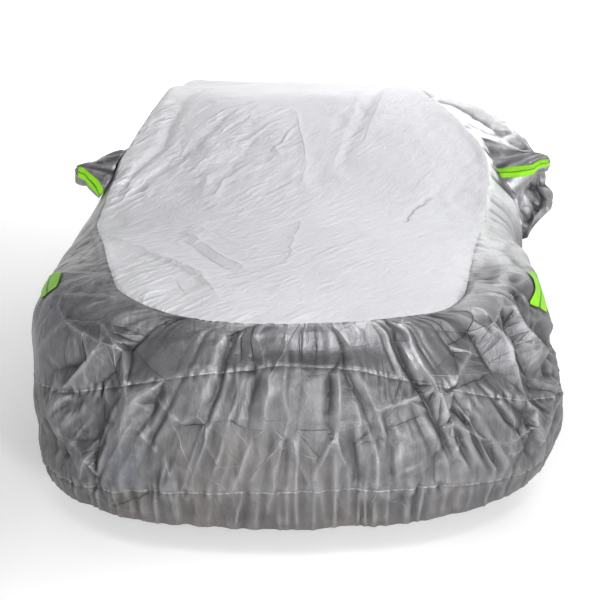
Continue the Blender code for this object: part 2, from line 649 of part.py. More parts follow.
def whole_form():
    form = Form()
    form.add_grid(
        np.concatenate([-HALF_COLUMNS[:0:-1], HALF_COLUMNS]), LEVELS,
        surface=skirt_surface,
        rises=lambda around, points: skirt_rise(around, points[:, 2] + ROOF_HEIGHT),
        describe=lambda around, level: (
            skirt_piece(around, level), fender_tape(around, level), mouth_side(around, level)
        ),
    )
    form.add_grid(
        lines_between(round_at(FRONT_JOIN), round_at(DOOR_END)), LEVELS[:LEVELS.index(BELT) + 1],
        surface=door_surface,
        rises=lambda around, points: door_rise(around, points[:, 2] + ROOF_HEIGHT),
        describe=lambda around, level: ("right_door_cloth", None, mouth_side(around, level)),
    )
    shares = lines_between(0.0, HALF_ROUND[HOOD_CORNER]) / HALF_ROUND[HOOD_CORNER]
    form.add_grid(
        lines_between(HALF_ROUND[HOOD_CORNER], HALF_ROUND[TAIL_CORNER]), np.concatenate([-shares[:0:-1], shares]),
        surface=top_surface,
        rises=lambda around, points: top_rise(points),
        describe=lambda around, share: ("top_panel", None, 0),
    )
    form.raise_folds()
    for side in SIDES:
        form.grow_pocket(side)
    form.finish()
    return form


# -------------------------------------------------------------------------------------------- pieces
def draw_in_edges(mesh, amount):
    """Moves the open edges of a piece inwards by `amount`, along its own cloth."""
    inward = {}
    for edge in mesh.edges:
        if len(edge.link_faces) != 1:
            continue
        face = edge.link_faces[0]
        along = (edge.verts[1].co - edge.verts[0].co).normalized()
        side = face.normal.cross(along)
        if side.dot(face.calc_center_median() - edge.verts[0].co) < 0:
            side.negate()
        for vert in edge.verts:
            inward.setdefault(vert, []).append(side)
    for vert, sides in inward.items():
        if len(sides) == 2:
            vert.co += (sides[0] + sides[1]) * (amount / (1 + max(sides[0].dot(sides[1]), -0.5)))


def cut_piece(form, mark, number, thickness, lift):
    """A closed sheet of one piece: its cells of the form, lifted off it and thickened outwards.

    Each cell of its rim is split along the diagonal that the neighbouring piece takes too."""
    mesh = form.mesh.copy()
    layer = mesh.faces.layers.int[mark]
    out = mesh.verts.layers.float_vector["out"]
    number_of = mesh.verts.layers.int["number"]
    bmesh.ops.delete(mesh, geom=[face for face in mesh.faces if face[layer] != number], context="FACES")
    mesh.normal_update()
    draw_in_edges(mesh, GAP / 2)
    for vert in mesh.verts:
        vert.co += vert[out] * lift
    grown = bmesh.ops.extrude_face_region(mesh, geom=mesh.faces[:], use_keep_orig=True)["geom"]
    outer = {item for item in grown if isinstance(item, bmesh.types.BMVert)}
    for vert in outer:
        vert.co += vert[out] * thickness
    for rim in [face for face in mesh.faces if len(face.verts) == 4]:
        start = min((vert for vert in rim.verts if vert not in outer), key=lambda vert: vert[number_of])
        end = max((vert for vert in rim.verts if vert in outer), key=lambda vert: vert[number_of])
        bmesh.utils.face_split(rim, start, end)
    bmesh.ops.recalc_face_normals(mesh, faces=mesh.faces[:])
    return mesh


def cloth_material(name, colour, roughness, metallic):
    material = bpy.data.materials.new(name)
    material.use_nodes = True
    shader = material.node_tree.nodes["Principled BSDF"]
    shader.inputs["Base Color"].default_value = (*colour, 1.0)
    shader.inputs["Roughness"].default_value = roughness
    shader.inputs["Metallic"].default_value = metallic
    return material


def add_object(name, mesh, material, collection):
    data = bpy.data.meshes.new(name)
    mesh.to_mesh(data)
    mesh.free()
    data.materials.append(material)
    data.shade_smooth()
    data.set_sharp_from_angle(angle=math.radians(50))
    collection.objects.link(bpy.data.objects.new(name, data))


def main():
    for old in list(bpy.data.objects):
        bpy.data.objects.remove(old)
    collection = bpy.data.collections.new("car_cover")
    bpy.context.scene.collection.children.link(collection)
    form = whole_form()
    for number, name in enumerate(PIECES):
        colour, roughness = (PALE_SILVER, 0.42) if name == "top_panel" else (SILVER, 0.38)
        material = cloth_material(name, colour, roughness, 0.5)
        add_object(name, cut_piece(form, "piece", number, CLOTH, 0.0), material, collection)
    for number, name in enumerate(TAPES):
        material = cloth_material(name, BRIGHT_GREEN, 0.45, 0.0)
        add_object(name, cut_piece(form, "tape", number, TAPE, CLOTH + GAP), material, collection)
    form.mesh.free()


main()
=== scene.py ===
"""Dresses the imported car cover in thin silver-coated cloth with creases, gathered seams and bright tapes.

Metres, +Z up, with the nose towards -Y and the origin under the roof. The tables measure "across" from the
middle, "along" back from the nose, "height" up from the ground and "round" along the outline from the middle
of the nose, negative on the left. place() moves them to the origin. Whole numbers in the tables inside
metres() are millimetres.
"""

import math

import bmesh
import bpy
import numpy as np
from mathutils import Euler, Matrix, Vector
from mathutils.geometry import delaunay_2d_cdt
from mathutils.kdtree import KDTree


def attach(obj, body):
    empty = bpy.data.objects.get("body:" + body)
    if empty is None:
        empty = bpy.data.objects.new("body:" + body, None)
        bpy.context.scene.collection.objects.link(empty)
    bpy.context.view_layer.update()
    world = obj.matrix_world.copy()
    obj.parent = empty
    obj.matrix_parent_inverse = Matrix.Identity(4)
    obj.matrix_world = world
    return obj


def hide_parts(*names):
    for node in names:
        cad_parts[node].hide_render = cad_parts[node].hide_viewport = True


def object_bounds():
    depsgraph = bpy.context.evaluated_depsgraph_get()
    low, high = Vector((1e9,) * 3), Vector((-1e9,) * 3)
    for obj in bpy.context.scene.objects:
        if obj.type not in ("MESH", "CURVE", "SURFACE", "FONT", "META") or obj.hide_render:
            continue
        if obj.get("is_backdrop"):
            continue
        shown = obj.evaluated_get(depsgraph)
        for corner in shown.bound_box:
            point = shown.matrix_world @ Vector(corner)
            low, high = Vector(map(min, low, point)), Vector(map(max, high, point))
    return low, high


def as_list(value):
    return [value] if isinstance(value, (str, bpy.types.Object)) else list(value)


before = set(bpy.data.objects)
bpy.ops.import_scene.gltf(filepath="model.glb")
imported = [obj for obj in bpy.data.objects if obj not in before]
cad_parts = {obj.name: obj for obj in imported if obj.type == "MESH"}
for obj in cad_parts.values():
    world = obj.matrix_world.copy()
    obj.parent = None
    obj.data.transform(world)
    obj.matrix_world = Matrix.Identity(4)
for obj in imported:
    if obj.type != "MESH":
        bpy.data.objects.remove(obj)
solid_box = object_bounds()


def metres(table):
    """A table with its whole numbers turned from millimetres into metres. Its decimals stay as they are."""
    if isinstance(table, dict):
        return {key: metres(row) for key, row in table.items()}
    if isinstance(table, tuple):
        return tuple(metres(row) for row in table)
    return table / 1000 if isinstance(table, int) else table


# --------------------------------------------------------------------------------- sizes of the cover
LENGTH = 4.45
HALF_WIDTH = {"left": 0.975, "right": 0.965}
NOSE_DEPTH = {"left": 0.65, "right": 0.75}
NOSE_POWER = {"left": 2.4, "right": 2.2}
TAIL_DEPTH = 0.55
TAIL_POWER = 2.3
ROOF_ALONG = 2.30
ROOF_HEIGHT = 1.455
HEM_HEIGHT = 0.196
HEM_INSET = 0.024
LOW_SEAM_INSET = 0.004

SEAM, TAPE_TOP, TAPE_FOOT, BELT, BULGE, LOW_SEAM, HEM = range(7)
NOSE_TURNS = (0, 18, 36, 52, 70, 90)
SIDE_STOPS = (1.06, 1.30, 1.66, 2.30, 3.05, 3.45)
TAIL_TURNS = (90, 52, 26, 0)
HOOD_CORNER = 3
TAIL_CORNER = 13
DOOR_STATION = 7
DOOR_BLEND = 0.10
ARCH_POWER = 2.4
END_REACH = 0.8

SEAM_LINE = metres((
    # left: across, along, height; right: across, along, height
    (0, 100, 850, 0, 100, 850),
    (290, 108, 858, 262, 132, 856),
    (470, 205, 868, 425, 196, 860),
    (600, 330, 882, 510, 320, 864),
    (655, 450, 922, 570, 500, 885),
    (718, 670, 968, 650, 730, 968),
    (800, 1060, 1012, 750, 1050, 1020),
    (735, 1300, 1200, 800, 1285, 1205),
    (632, 1680, 1405, 630, 1670, 1415),
    (605, 2300, 1442, 605, 2300, 1442),
    (560, 3050, 1430, 560, 3050, 1430),
    (640, 3450, 1235, 640, 3450, 1235),
    (705, 3880, 1075, 705, 3880, 1075),
    (585, 4210, 1040, 585, 4210, 1040),
    (300, 4320, 1026, 300, 4320, 1026),
    (0, 4345, 1020, 0, 4345, 1020),
))
SECTIONS = metres((
    # tape top: left and right inset, height; tape foot: the same; belt: inset, left and right height;
    # bulge height; low seam height
    (108, 100, 812, 78, 88, 772, 45, 735, 735, 525, 335),
    (110, 102, 818, 78, 88, 768, 40, 700, 668, 500, 322),
    (128, 120, 825, 76, 86, 752, 28, 640, 580, 450, 290),
    (128, 133, 836, 70, 93, 770, 16, 588, 515, 415, 265),
    (92, 116, 856, 44, 88, 798, 6, 562, 482, 400, 258),
    (66, 103, 874, 30, 86, 820, 0, 568, 490, 400, 262),
    (85, 108, 930, 40, 83, 862, 0, 580, 535, 410, 275),
    (145, 137, 1055, 60, 70, 895, 0, 585, 585, 420, 288),
    (205, 197, 1170, 74, 84, 925, 0, 600, 600, 430, 300),
    (220, 212, 1185, 78, 88, 930, 0, 605, 605, 430, 300),
    (230, 222, 1175, 82, 92, 935, 0, 610, 610, 430, 300),
    (165, 157, 1090, 76, 86, 930, 0, 610, 610, 430, 300),
    (115, 107, 1010, 58, 68, 910, 0, 610, 610, 430, 300),
    (110, 110, 985, 54, 54, 900, 4, 620, 620, 435, 302),
    (108, 108, 978, 54, 54, 905, 6, 640, 640, 440, 305),
    (106, 106, 975, 54, 54, 910, 8, 650, 650, 440, 305),
))
DRAWN_OUT = metres({
    # station: {level: across, along, height}
    7: {TAPE_TOP: (920, 1265, 1055), TAPE_FOOT: (950, 1255, 900)},
})
DOOR_CLOTH = metres({
    7: {TAPE_TOP: (920, 1265, 1055), TAPE_FOOT: (985, 1350, 930), BELT: (995, 1370, 740)},
    8: {TAPE_TOP: (910, 1620, 1318), TAPE_FOOT: (1065, 1520, 1160), BELT: (1140, 1450, 955)},
    9: {TAPE_TOP: (790, 2120, 1270), TAPE_FOOT: (1030, 1920, 1140), BELT: (1100, 1750, 1000)},
})
MIDDLE = metres((
    # along, height of the top panel's middle line
    (100, 850), (400, 905), (700, 975), (1060, 1045), (1300, 1190), (1680, 1420), (1950, 1450),
    (2300, 1460), (2700, 1452), (3050, 1418), (3450, 1255), (3880, 1095), (4210, 1060), (4345, 1020),
))

# ----------------------------------------------------------------------------------- creases and folds
# Each runs over the cloth from point to point. A rise above 0 stands proud and one below 0 is a trough.
# Sharp is 1 for a nipped crease and 0 for a soft fold. Points on the skirt are (round, height), and points
# on the top panel are (across, along).
SKIRT_CREASES = metres((
    # width, rise at the start, rise at the end, sharp, points
    (35, 7, 19, 0.8, (-1008, 687), (-894, 796)),
    (38, 22, 20, 0.9, (-894, 796), (-696, 758)),
    (42, 24, 7, 0.9, (-696, 758), (-834, 598)),
    (29, 17, 10, 0.9, (-894, 796), (-711, 811)),
    (29, 17, 7, 0.9, (-894, 796), (-975, 833), (-1014, 860)),
    (29, 17, 14, 0.9, (-696, 758), (-612, 749)),
    (48, -37, -20, 0.7, (-612, 749), (-480, 854)),
    (32, 14, 17, 0.9, (-696, 758), (-714, 805), (-612, 749)),
    (29, 14, 5, 0.8, (-612, 749), (-702, 831)),
    (88, -27, -17, 0.1, (-760, 690), (-930, 640)),
    (80, -24, -17, 0.1, (-640, 690), (-760, 590)),
    (18, 8, 6, 0.9, (-1251, 897), (-1092, 918)),
    (18, 10, 7, 0.9, (-1008, 861), (-860, 865), (-760, 862)),
    (35, -14, -7, 0.7, (-1377, 935), (-1212, 920)),
    (48, -20, -10, 0.5, (-1473, 927), (-1284, 952)),
    (16, 8, 4, 0.9, (-843, 831), (-795, 866)),
    (16, 7, 6, 0.9, (-942, 680), (-855, 623)),
    (14, 7, 7, 0.9, (-480, 630), (-387, 562)),
    (14, 7, 6, 0.9, (-525, 524), (-462, 446)),
    (14, 7, 4, 0.9, (-438, 415), (-420, 368)),
    (80, 22, 17, 0.2, (-555, 618), (-603, 300)),
    (80, -24, -17, 0.2, (-480, 600), (-500, 300)),
    (88, -24, -17, 0.2, (-675, 520), (-720, 300)),
    (14, 8, 6, 0.8, (-303, 567), (-303, 476), (-264, 423)),
    (64, 17, 20, 0.3, (-675, 359), (-618, 505), (-537, 611)),
    (48, 17, 10, 0.6, (-864, 452), (-735, 381), (-678, 322)),
    (64, -20, -17, 0.3, (-950, 480), (-860, 330)),
    (32, -15, -24, 0.7, (-183, 850), (-231, 812), (-255, 746), (-261, 708), (-306, 557)),
    (38, 17, 17, 0.5, (-215, 850), (-272, 790), (-292, 700), (-330, 580)),
    (14, 6, 6, 0.8, (-239, 850), (-261, 785)),
    (18, 10, 11, 0.8, (-81, 850), (-74, 738), (-80, 657), (-65, 576), (-83, 514)),
    (35, 15, 14, 0.7, (-83, 514), (-110, 380), (-138, 229)),
    (16, 8, 6, 0.9, (-59, 514), (-8, 360)),
    (18, 11, 6, 0.9, (-89, 513), (-186, 369)),
    (16, -6, -4, 0.6, (-204, 830), (-207, 747)),
    (16, 6, 4, 0.6, (-165, 846), (-138, 744)),
    (16, -6, -6, 0.6, (-32, 843), (-29, 744)),
    (16, -6, -4, 0.6, (22, 842), (19, 739)),
    (32, -7, -22, 0.7, (49, 850), (106, 782), (109, 720), (151, 641), (199, 537)),
    (38, 7, 20, 0.5, (80, 845), (138, 770), (150, 700), (190, 630), (232, 540)),
    (32, -20, -17, 0.6, (55, 715), (52, 559), (64, 520)),
    (32, 14, 10, 0.5, (85, 710), (88, 540)),
    (29, 17, 10, 0.8, (67, 520), (-2, 368)),
    (29, 12, 5, 0.8, (75, 520), (110, 420)),
    (38, -14, -32, 0.8, (255, 880), (301, 851), (286, 782), (331, 703), (373, 626)),
    (38, -32, -14, 0.8, (373, 626), (418, 529), (450, 440)),
    (58, 24, 31, 0.3, (335, 840), (330, 775), (375, 700), (417, 626)),
    (58, 31, 14, 0.3, (417, 626), (462, 530)),
    (18, 8, 6, 0.8, (313, 773), (355, 695)),
    (29, 12, 12, 0.8, (208, 592), (346, 623), (403, 637)),
    (51, -19, -17, 0.3, (-29, 713), (-44, 544)),
    (48, -17, -17, 0.3, (-162, 698), (-189, 546)),
    (48, 17, 17, 0.3, (-120, 700), (-140, 546)),
    (48, -17, -14, 0.3, (-216, 682), (-237, 576)),
    (14, 7, 7, 0.9, (301, 396), (376, 422)),
    (14, -6, 6, 0.9, (300, 372), (392, 400)),
    (48, 17, 17, 0.4, (-174, 514), (-231, 341)),
    (45, -15, -15, 0.4, (130, 493), (154, 336)),
    (45, -17, -15, 0.4, (241, 565), (268, 362)),
    (45, 15, 15, 0.4, (205, 500), (215, 330)),
    (29, -14, -10, 0.6, (475, 627), (445, 461)),
    (16, 13, 8, 0.9, (535, 595), (529, 534), (505, 490), (475, 404)),
    (14, 7, 7, 0.9, (487, 427), (529, 367)),
    (32, 17, 14, 0.8, (448, 570), (487, 660), (559, 726)),
    (16, 11, 8, 0.9, (574, 738), (619, 767)),
    (42, 17, 27, 0.8, (802, 861), (670, 792), (727, 737), (727, 673)),
    (42, 27, 17, 0.8, (727, 673), (775, 542)),
    (72, -31, -24, 0.2, (775, 770), (800, 640), (840, 560)),
    (45, 20, 27, 0.8, (799, 849), (802, 800), (865, 692)),
    (45, 27, 14, 0.8, (865, 692), (1006, 566)),
    (42, 17, 17, 0.8, (955, 872), (964, 818), (1093, 701)),
    (72, -24, -20, 0.2, (900, 800), (960, 690), (1060, 600)),
    (29, 14, 17, 0.9, (670, 792), (799, 849)),
    (16, 8, 8, 0.9, (799, 859), (838, 861), (880, 835)),
    (14, 10, 10, 0.9, (1000, 872), (1050, 900), (1114, 895)),
    (14, 8, 8, 0.9, (1000, 872), (1060, 874), (1114, 895)),
    (18, 8, 8, 0.8, (727, 737), (865, 692)),
    (18, 8, 8, 0.8, (754, 630), (925, 539)),
    (32, 17, 20, 0.9, (685, 423), (799, 441), (868, 362)),
    (29, 17, 17, 0.9, (784, 514), (931, 411)),
    (29, -17, -14, 0.8, (763, 485), (799, 387)),
    (16, 8, 8, 0.9, (676, 384), (790, 362)),
    (35, -20, -17, 0.6, (586, 789), (622, 724), (649, 651)),
    (48, -17, -14, 0.3, (463, 803), (502, 734)),
))
TOP_CREASES = metres((
    # width, rise at the start, rise at the end, sharp, points
    (64, 20, 17, 0.4, (-569, 2000), (-610, 1404), (-770, 1123)),
    (54, 17, 14, 0.5, (-422, 1835), (-551, 1351), (-745, 1140)),
    (42, -15, -14, 0.5, (-470, 1850), (-580, 1360), (-740, 1160)),
    (48, 15, 10, 0.5, (-339, 1554), (-512, 1364), (-599, 1247), (-750, 1130)),
    (48, 12, 10, 0.4, (-260, 1589), (-417, 1354), (-611, 1178)),
    (42, -10, -9, 0.4, (-300, 1560), (-460, 1350), (-650, 1180)),
    (48, 14, 9, 0.4, (-204, 1523), (-296, 1353), (-448, 1201)),
    (14, 4, 7, 0.9, (-159, 1330), (-244, 1248), (-315, 1196), (-347, 1107)),
    (29, -10, -10, 0.7, (-181, 1421), (-234, 1335)),
    (18, 4, 6, 0.7, (-1, 1582), (32, 1299), (5, 1168)),
    (14, 4, 4, 0.8, (-2, 920), (-59, 552)),
    (16, 6, 6, 0.8, (-462, 1407), (-548, 1271)),
    (11, 6, 4, 0.9, (-114, 1394), (-71, 1321)),
    (48, 10, 9, 0.4, (-72, 1521), (-153, 1301)),
    (29, 9, 10, 0.7, (-756, 811), (-604, 668), (-466, 542)),
    (96, -7, -10, 0.2, (-720, 700), (-560, 590), (-430, 490), (-340, 360)),
    (32, 9, 7, 0.5, (-466, 542), (-355, 433), (-276, 238)),
    (112, -8, -7, 0.1, (-440, 420), (-380, 250)),
    (16, 6, 6, 0.8, (-437, 810), (-313, 596), (-208, 476)),
    (48, -9, -9, 0.3, (-470, 770), (-340, 560), (-240, 450)),
    (14, 4, 3, 0.8, (-408, 897), (-226, 660)),
    (64, 17, 10, 0.4, (500, 2300), (300, 1700), (238, 1514), (135, 1244)),
    (51, -17, -10, 0.4, (520, 2150), (345, 1650), (275, 1480), (190, 1290)),
    (32, 10, 9, 0.7, (520, 2000), (311, 1456), (258, 1365)),
    (48, 12, 9, 0.3, (507, 1900), (325, 1403)),
    (72, -31, -17, 0.3, (739, 1267), (653, 1202), (540, 1110)),
    (16, -13, -4, 0.9, (540, 1110), (464, 1037), (400, 900)),
    (64, -20, -14, 0.3, (725, 1082), (625, 1033), (590, 960)),
    (29, 7, 7, 0.6, (531, 1392), (562, 1232)),
    (32, 7, 5, 0.5, (496, 876), (539, 787)),
    (29, 7, 5, 0.6, (191, 1457), (136, 1298), (44, 1084)),
    (48, 14, 10, 0.4, (-695, 1439), (-730, 1300)),
    (96, -17, -17, 0.1, (-450, 2250), (-100, 2750)),
    (96, -17, -17, 0.1, (420, 2950), (120, 2550)),
    (96, 24, 17, 0.3, (-500, 3050), (-330, 3750)),
    (88, -20, -17, 0.3, (-220, 3150), (-120, 3850)),
    (88, 17, 17, 0.3, (60, 3100), (100, 3800)),
    (96, 24, 17, 0.3, (480, 3050), (350, 3800)),
    (96, -20, -17, 0.2, (250, 3250), (480, 4050)),
    (32, 10, 10, 0.8, (-300, 3300), (-460, 3700), (-400, 4000)),
    (32, 10, 10, 0.8, (300, 3350), (250, 3700), (320, 4050)),
))
DOOR_CREASES = metres((
    # width, rise at the start, rise at the end, sharp, points
    (42, -27, -24, 0.7, (2278, 1340), (2268, 1290), (2240, 1230)),
    (32, 17, 17, 0.8, (2330, 1330), (2320, 1260), (2290, 1180)),
    (42, -24, -20, 0.7, (2194, 1284), (2240, 1210), (2281, 1155)),
    (32, 17, 20, 0.8, (2140, 1270), (2200, 1190), (2230, 1120)),
    (29, 17, 14, 0.9, (2117, 1020), (2144, 917), (2057, 821)),
    (29, 15, 14, 0.9, (2144, 917), (2240, 960)),
    (29, -17, -14, 0.8, (2271, 1004), (2180, 940), (2094, 887)),
    (32, 17, 14, 0.8, (2301, 1035), (2284, 947)),
    (32, -14, -14, 0.8, (2040, 1030), (2060, 900), (2040, 800)),
    (48, 17, 14, 0.6, (2500, 1320), (2470, 1150), (2420, 1020)),
    (48, -17, -14, 0.5, (2640, 1320), (2620, 1150), (2600, 1020)),
    (48, 17, 14, 0.5, (2780, 1330), (2770, 1160), (2760, 1020)),
))

# Where the cloth is crumpled most. Amount is the depth of its facets against that of the flat cloth.
CRUMPLED = metres((
    # across, along, height, reach, amount
    (-620, 420, 860, 260, 1.3),
    (-800, 550, 750, 260, 1.5),
    (660, 500, 860, 260, 2.1),
    (840, 450, 620, 300, 2.4),
    (860, 420, 420, 260, 2.6),
    (-800, 320, 400, 260, 2.0),
    (350, 30, 400, 200, 1.4),
    (-450, 80, 400, 160, 1.0),
    (1030, 1450, 980, 340, 3.2),
    (980, 1620, 1240, 300, 2.4),
    (-720, 950, 980, 240, 1.2),
    (-350, 1300, 1180, 360, 1.1),
    (50, 1250, 1150, 300, 0.8),
    (250, 1550, 1360, 260, 0.7),
    (620, 1100, 1060, 220, 0.9),
    (-400, 800, 960, 240, 0.7),
    (0, 4300, 800, 600, 1.0),
    (-900, 2600, 900, 800, 0.4),
    (900, 3000, 900, 600, 0.5),
))
CALM = 0.55


# --------------------------------------------------------------------------------------------- helpers
def place(across, along, height):
    return np.array((across, along - ROOF_ALONG, height - ROOF_HEIGHT))


def unit(vectors):
    return vectors / np.maximum(np.linalg.norm(vectors, axis=-1, keepdims=True), 1e-12)


def eased(share):
    return share * share * (3 - 2 * share)


def fade(distance, reach):
    """1 at no distance, falling smoothly to 0 at `reach`."""
    return eased(np.clip(1 - np.abs(distance) / reach, 0, 1))


def rising(value, start, reach):
    """0 up to `start`, then rising straight to 1 within `reach`."""
    return np.clip((value - start) / reach, 0, 1)


def falling(value, end, reach):
    """1 at first, then falling straight to 0 at `end` within `reach`."""
    return np.clip((end - value) / reach, 0, 1)


def past(value, start):
    return np.clip(value - start, 0, None)


def curved(start, end, leaving, arriving, t):
    """A smooth curve from start to end with its slopes there."""
    return (
        start * (1 + 2 * t) * (1 - t) ** 2 + leaving * t * (1 - t) ** 2
        + end * t * t * (3 - 2 * t) - arriving * t * t * (1 - t)
    )


def smooth_curve(knots, values, where):
    """Reads a smooth curve through `values` at uneven `knots`."""
    gaps = np.diff(knots)
    steps = np.diff(values, axis=0) / gaps[:, None]
    slopes = np.concatenate([
        steps[:1],
        (steps[:-1] * gaps[1:, None] + steps[1:] * gaps[:-1, None]) / (gaps[:-1] + gaps[1:])[:, None],
        steps[-1:],
    ])
    where = np.clip(where, knots[0], knots[-1])
    i = np.clip(np.searchsorted(knots, where, side="right") - 1, 0, len(gaps) - 1)
    gap = gaps[i][:, None]
    t = (where - knots[i])[:, None] / gap
    return curved(values[i], values[i + 1], slopes[i] * gap, slopes[i + 1] * gap, t)


PRIMES = (2654435761, 2246822519, 3266489917)
FIRST_MIX = (668265263, 374761393)
ALL_BITS = 0xFFFFFFFF


def scattered(cells, seed):
    """An even spread of numbers from 0 to 1, one for each whole-numbered cell."""
    mixed = np.full(cells.shape[:-1], seed * FIRST_MIX[0] + FIRST_MIX[1], np.uint32)
    with np.errstate(over="ignore"):
        for cell, prime in zip(np.moveaxis(cells, -1, 0), PRIMES):
            mixed = mixed ^ (cell.astype(np.int64) & ALL_BITS).astype(np.uint32) * np.uint32(prime)
            mixed = (mixed ^ (mixed >> np.uint32(15))) * np.uint32(PRIMES[1])
    return (mixed ^ (mixed >> np.uint32(13))).astype(np.float64) / ALL_BITS


def soft_noise(points, size, seed):
    """Smooth noise from -1 to 1 with bumps of about `size`. It takes points in any number of dimensions."""
    where = np.asarray(points, float) / size
    base = np.floor(where)
    t = eased(where - base)
    dims = where.shape[-1]
    total = np.zeros(where.shape[:-1])
    for corner in range(2 ** dims):
        step = np.array([(corner >> axis) & 1 for axis in range(dims)])
        weight = np.prod(np.where(step, t, 1 - t), axis=-1)
        total += weight * scattered(base + step, seed)
    return 2 * total - 1


def flat_noise(first, second, seed):
    """Smooth noise of two numbers, with bumps of about 1."""
    return soft_noise(np.stack([first, second], axis=-1), 1.0, seed)


def sharp_noise(first, second, seed):
    """Noise from about -1 to 1 whose high places are sharp ridges."""
    return 1 - 2.4 * np.abs(flat_noise(first, second, seed))


# ------------------------------------------------------------------------- smooth shape of the cover
def rounded_end(turn, half_width, depth, power):
    angle = math.radians(turn)
    sine, cosine = math.sin(angle), max(math.cos(angle), 0.0)
    point = np.array((half_width * sine ** (2 / power), depth * (1 - cosine ** (2 / power))))
    outward = np.array((sine ** (2 - 2 / power) / half_width, -(cosine ** (2 - 2 / power)) / depth))
    return point, unit(outward)


def outline(side):
    half_width = HALF_WIDTH[side]
    nose = [rounded_end(turn, half_width, NOSE_DEPTH[side], NOSE_POWER[side]) for turn in NOSE_TURNS]
    straight = [(np.array((half_width, along)), np.array((1.0, 0.0))) for along in SIDE_STOPS]
    tail = [rounded_end(turn, half_width, TAIL_DEPTH, TAIL_POWER) for turn in TAIL_TURNS]
    tail = [(np.array((point[0], LENGTH - point[1])), outward * (1, -1)) for point, outward in tail]
    rows = nose + straight + tail
    return np.array([row[0] for row in rows]), np.array([row[1] for row in rows])


def half_skirt(side):
    points, outwards = outline(side)
    pick = ("left", "right").index(side)
    rows = []
    for point, outward, seam, section in zip(points, outwards, SEAM_LINE, SECTIONS):
        *tape_top_insets, tape_top = section[0:3]
        *tape_foot_insets, tape_foot = section[3:6]
        belt_inset, *belt_heights = section[6:9]
        insets = (tape_top_insets[pick], tape_foot_insets[pick], belt_inset, 0.0, LOW_SEAM_INSET, HEM_INSET)
        heights = (tape_top, tape_foot, belt_heights[pick], *section[9:], HEM_HEIGHT)
        levels = [place(*seam[3 * pick:3 * pick + 3])]
        for inset, height in zip(insets, heights):
            levels.append(place(*(point - inset * outward), height))
        rows.append(levels)
    return np.array(rows)


def round_distances():
    points = (outline("left")[0] + outline("right")[0]) / 2
    return np.concatenate([[0], np.cumsum(np.linalg.norm(np.diff(points, axis=0), axis=1))])


def whole_skirt(moved):
    left = half_skirt("left") * (-1, 1, 1)
    right = half_skirt("right")
    for station, levels in moved.items():
        for level, point in levels.items():
            right[station, level] = place(*point)
    return np.concatenate([left[:0:-1], right])


HALF_ROUND = round_distances()
KNOTS = np.concatenate([-HALF_ROUND[:0:-1], HALF_ROUND])
SKIRT_STATIONS = whole_skirt(DRAWN_OUT)
DOOR_STATIONS = whole_skirt(DOOR_CLOTH)
ROUND_END = HALF_ROUND[-1]


def surface_through(stations, around, level):
    rows = smooth_curve(KNOTS, stations.reshape(len(stations), -1), around)
    rows = rows.reshape(-1, HEM + 1, 3)
    i = np.clip(level.astype(int), SEAM, HEM - 1)
    t = (level - i)[:, None]
    pick = np.arange(len(level))
    points = [rows[pick, np.clip(i + step, SEAM, HEM)] for step in (-1, 0, 1, 2)]
    before, step, after = (far - near for near, far in zip(points, points[1:]))
    gaps = [np.linalg.norm(run, axis=1)[:, None] for run in (before, step, after)]
    slopes = []
    for run, gap in ((before, gaps[0]), (after, gaps[2])):
        mixed = (step * gap / gaps[1] + run * gaps[1] / np.maximum(gap, 1e-9)) / (gaps[1] + gap)
        slopes.append(np.where(gap > 1e-9, mixed * gaps[1], step))
    return curved(points[1], points[2], *slopes, t)


def skirt_surface(around, level):
    return surface_through(SKIRT_STATIONS, around, level)


def door_surface(around, level):
    joined = fade(around - HALF_ROUND[DOOR_STATION], DOOR_BLEND) * fade(np.maximum(level - TAPE_TOP, 0), 0.5)
    loose = surface_through(DOOR_STATIONS, around, level)
    return loose + (skirt_surface(around, level) - loose) * joined[:, None]


def seam_points(around):
    return skirt_surface(around, np.zeros_like(around))


def arched(around, share):
    left, right = seam_points(-around), seam_points(around)
    mix = ((share + 1) / 2)[:, None]
    points = left * (1 - mix) + right * mix
    table = np.array(MIDDLE)
    middle = smooth_curve(table[:, 0], table[:, 1:], points[:, 1] + ROOF_ALONG)[:, 0] - ROOF_HEIGHT
    points[:, 2] += (middle - (left[:, 2] + right[:, 2]) / 2) * (1 - np.abs(share) ** ARCH_POWER)
    return points


def top_surface(around, share):
    points = arched(around, share)
    for corner, middle in ((HOOD_CORNER, 0), (TAIL_CORNER, -1)):
        corner_round, middle_round = HALF_ROUND[corner], HALF_ROUND[middle]
        end_round = middle_round + (corner_round - middle_round) * np.abs(share)
        end = seam_points(np.where(share < 0, -1, 1) * end_round)
        chord = arched(np.full_like(around, corner_round), share)
        points += (end - chord) * fade(around - corner_round, END_REACH)[:, None]
    return points


# ------------------------------------------------------------------------------------- lie of the cloth
PITCH = 0.0046
TOP_PITCH = 0.008
DOOR_PITCH = 0.006
FAR_PITCH = 0.013
FAR_TOP_PITCH = 0.016
HEM_PITCH = 0.0045
FAR_HEM_PITCH = 0.008
PLEAT_PITCH = 0.40
PLEAT_RISE = 0.012
PLEAT_START = 1.75
PLEAT_FADE = 0.45
FRONT_JOIN = 1.9473
DOOR_END = 2.9473
REAR_JOIN = 4.3973
BAND_JOIN = 0.4194
SEAM_BLEND = 0.05
CREASE_STEP = 0.03
# A crease reaches this many of its widths, and over END_TAPER of them it falls to END_SHARE at its ends.
CREASE_REACH = 3.0
END_TAPER = 1.2
END_SHARE = 0.3
NIPPED_FALL = 2.6
BROAD_CREASE = 0.020
BROAD_SHARP = 0.7
# The nipped edge along a sharp broad crease: width, share of the crease's rise, sharp.
NIP = (0.010, 0.3, 0.95)
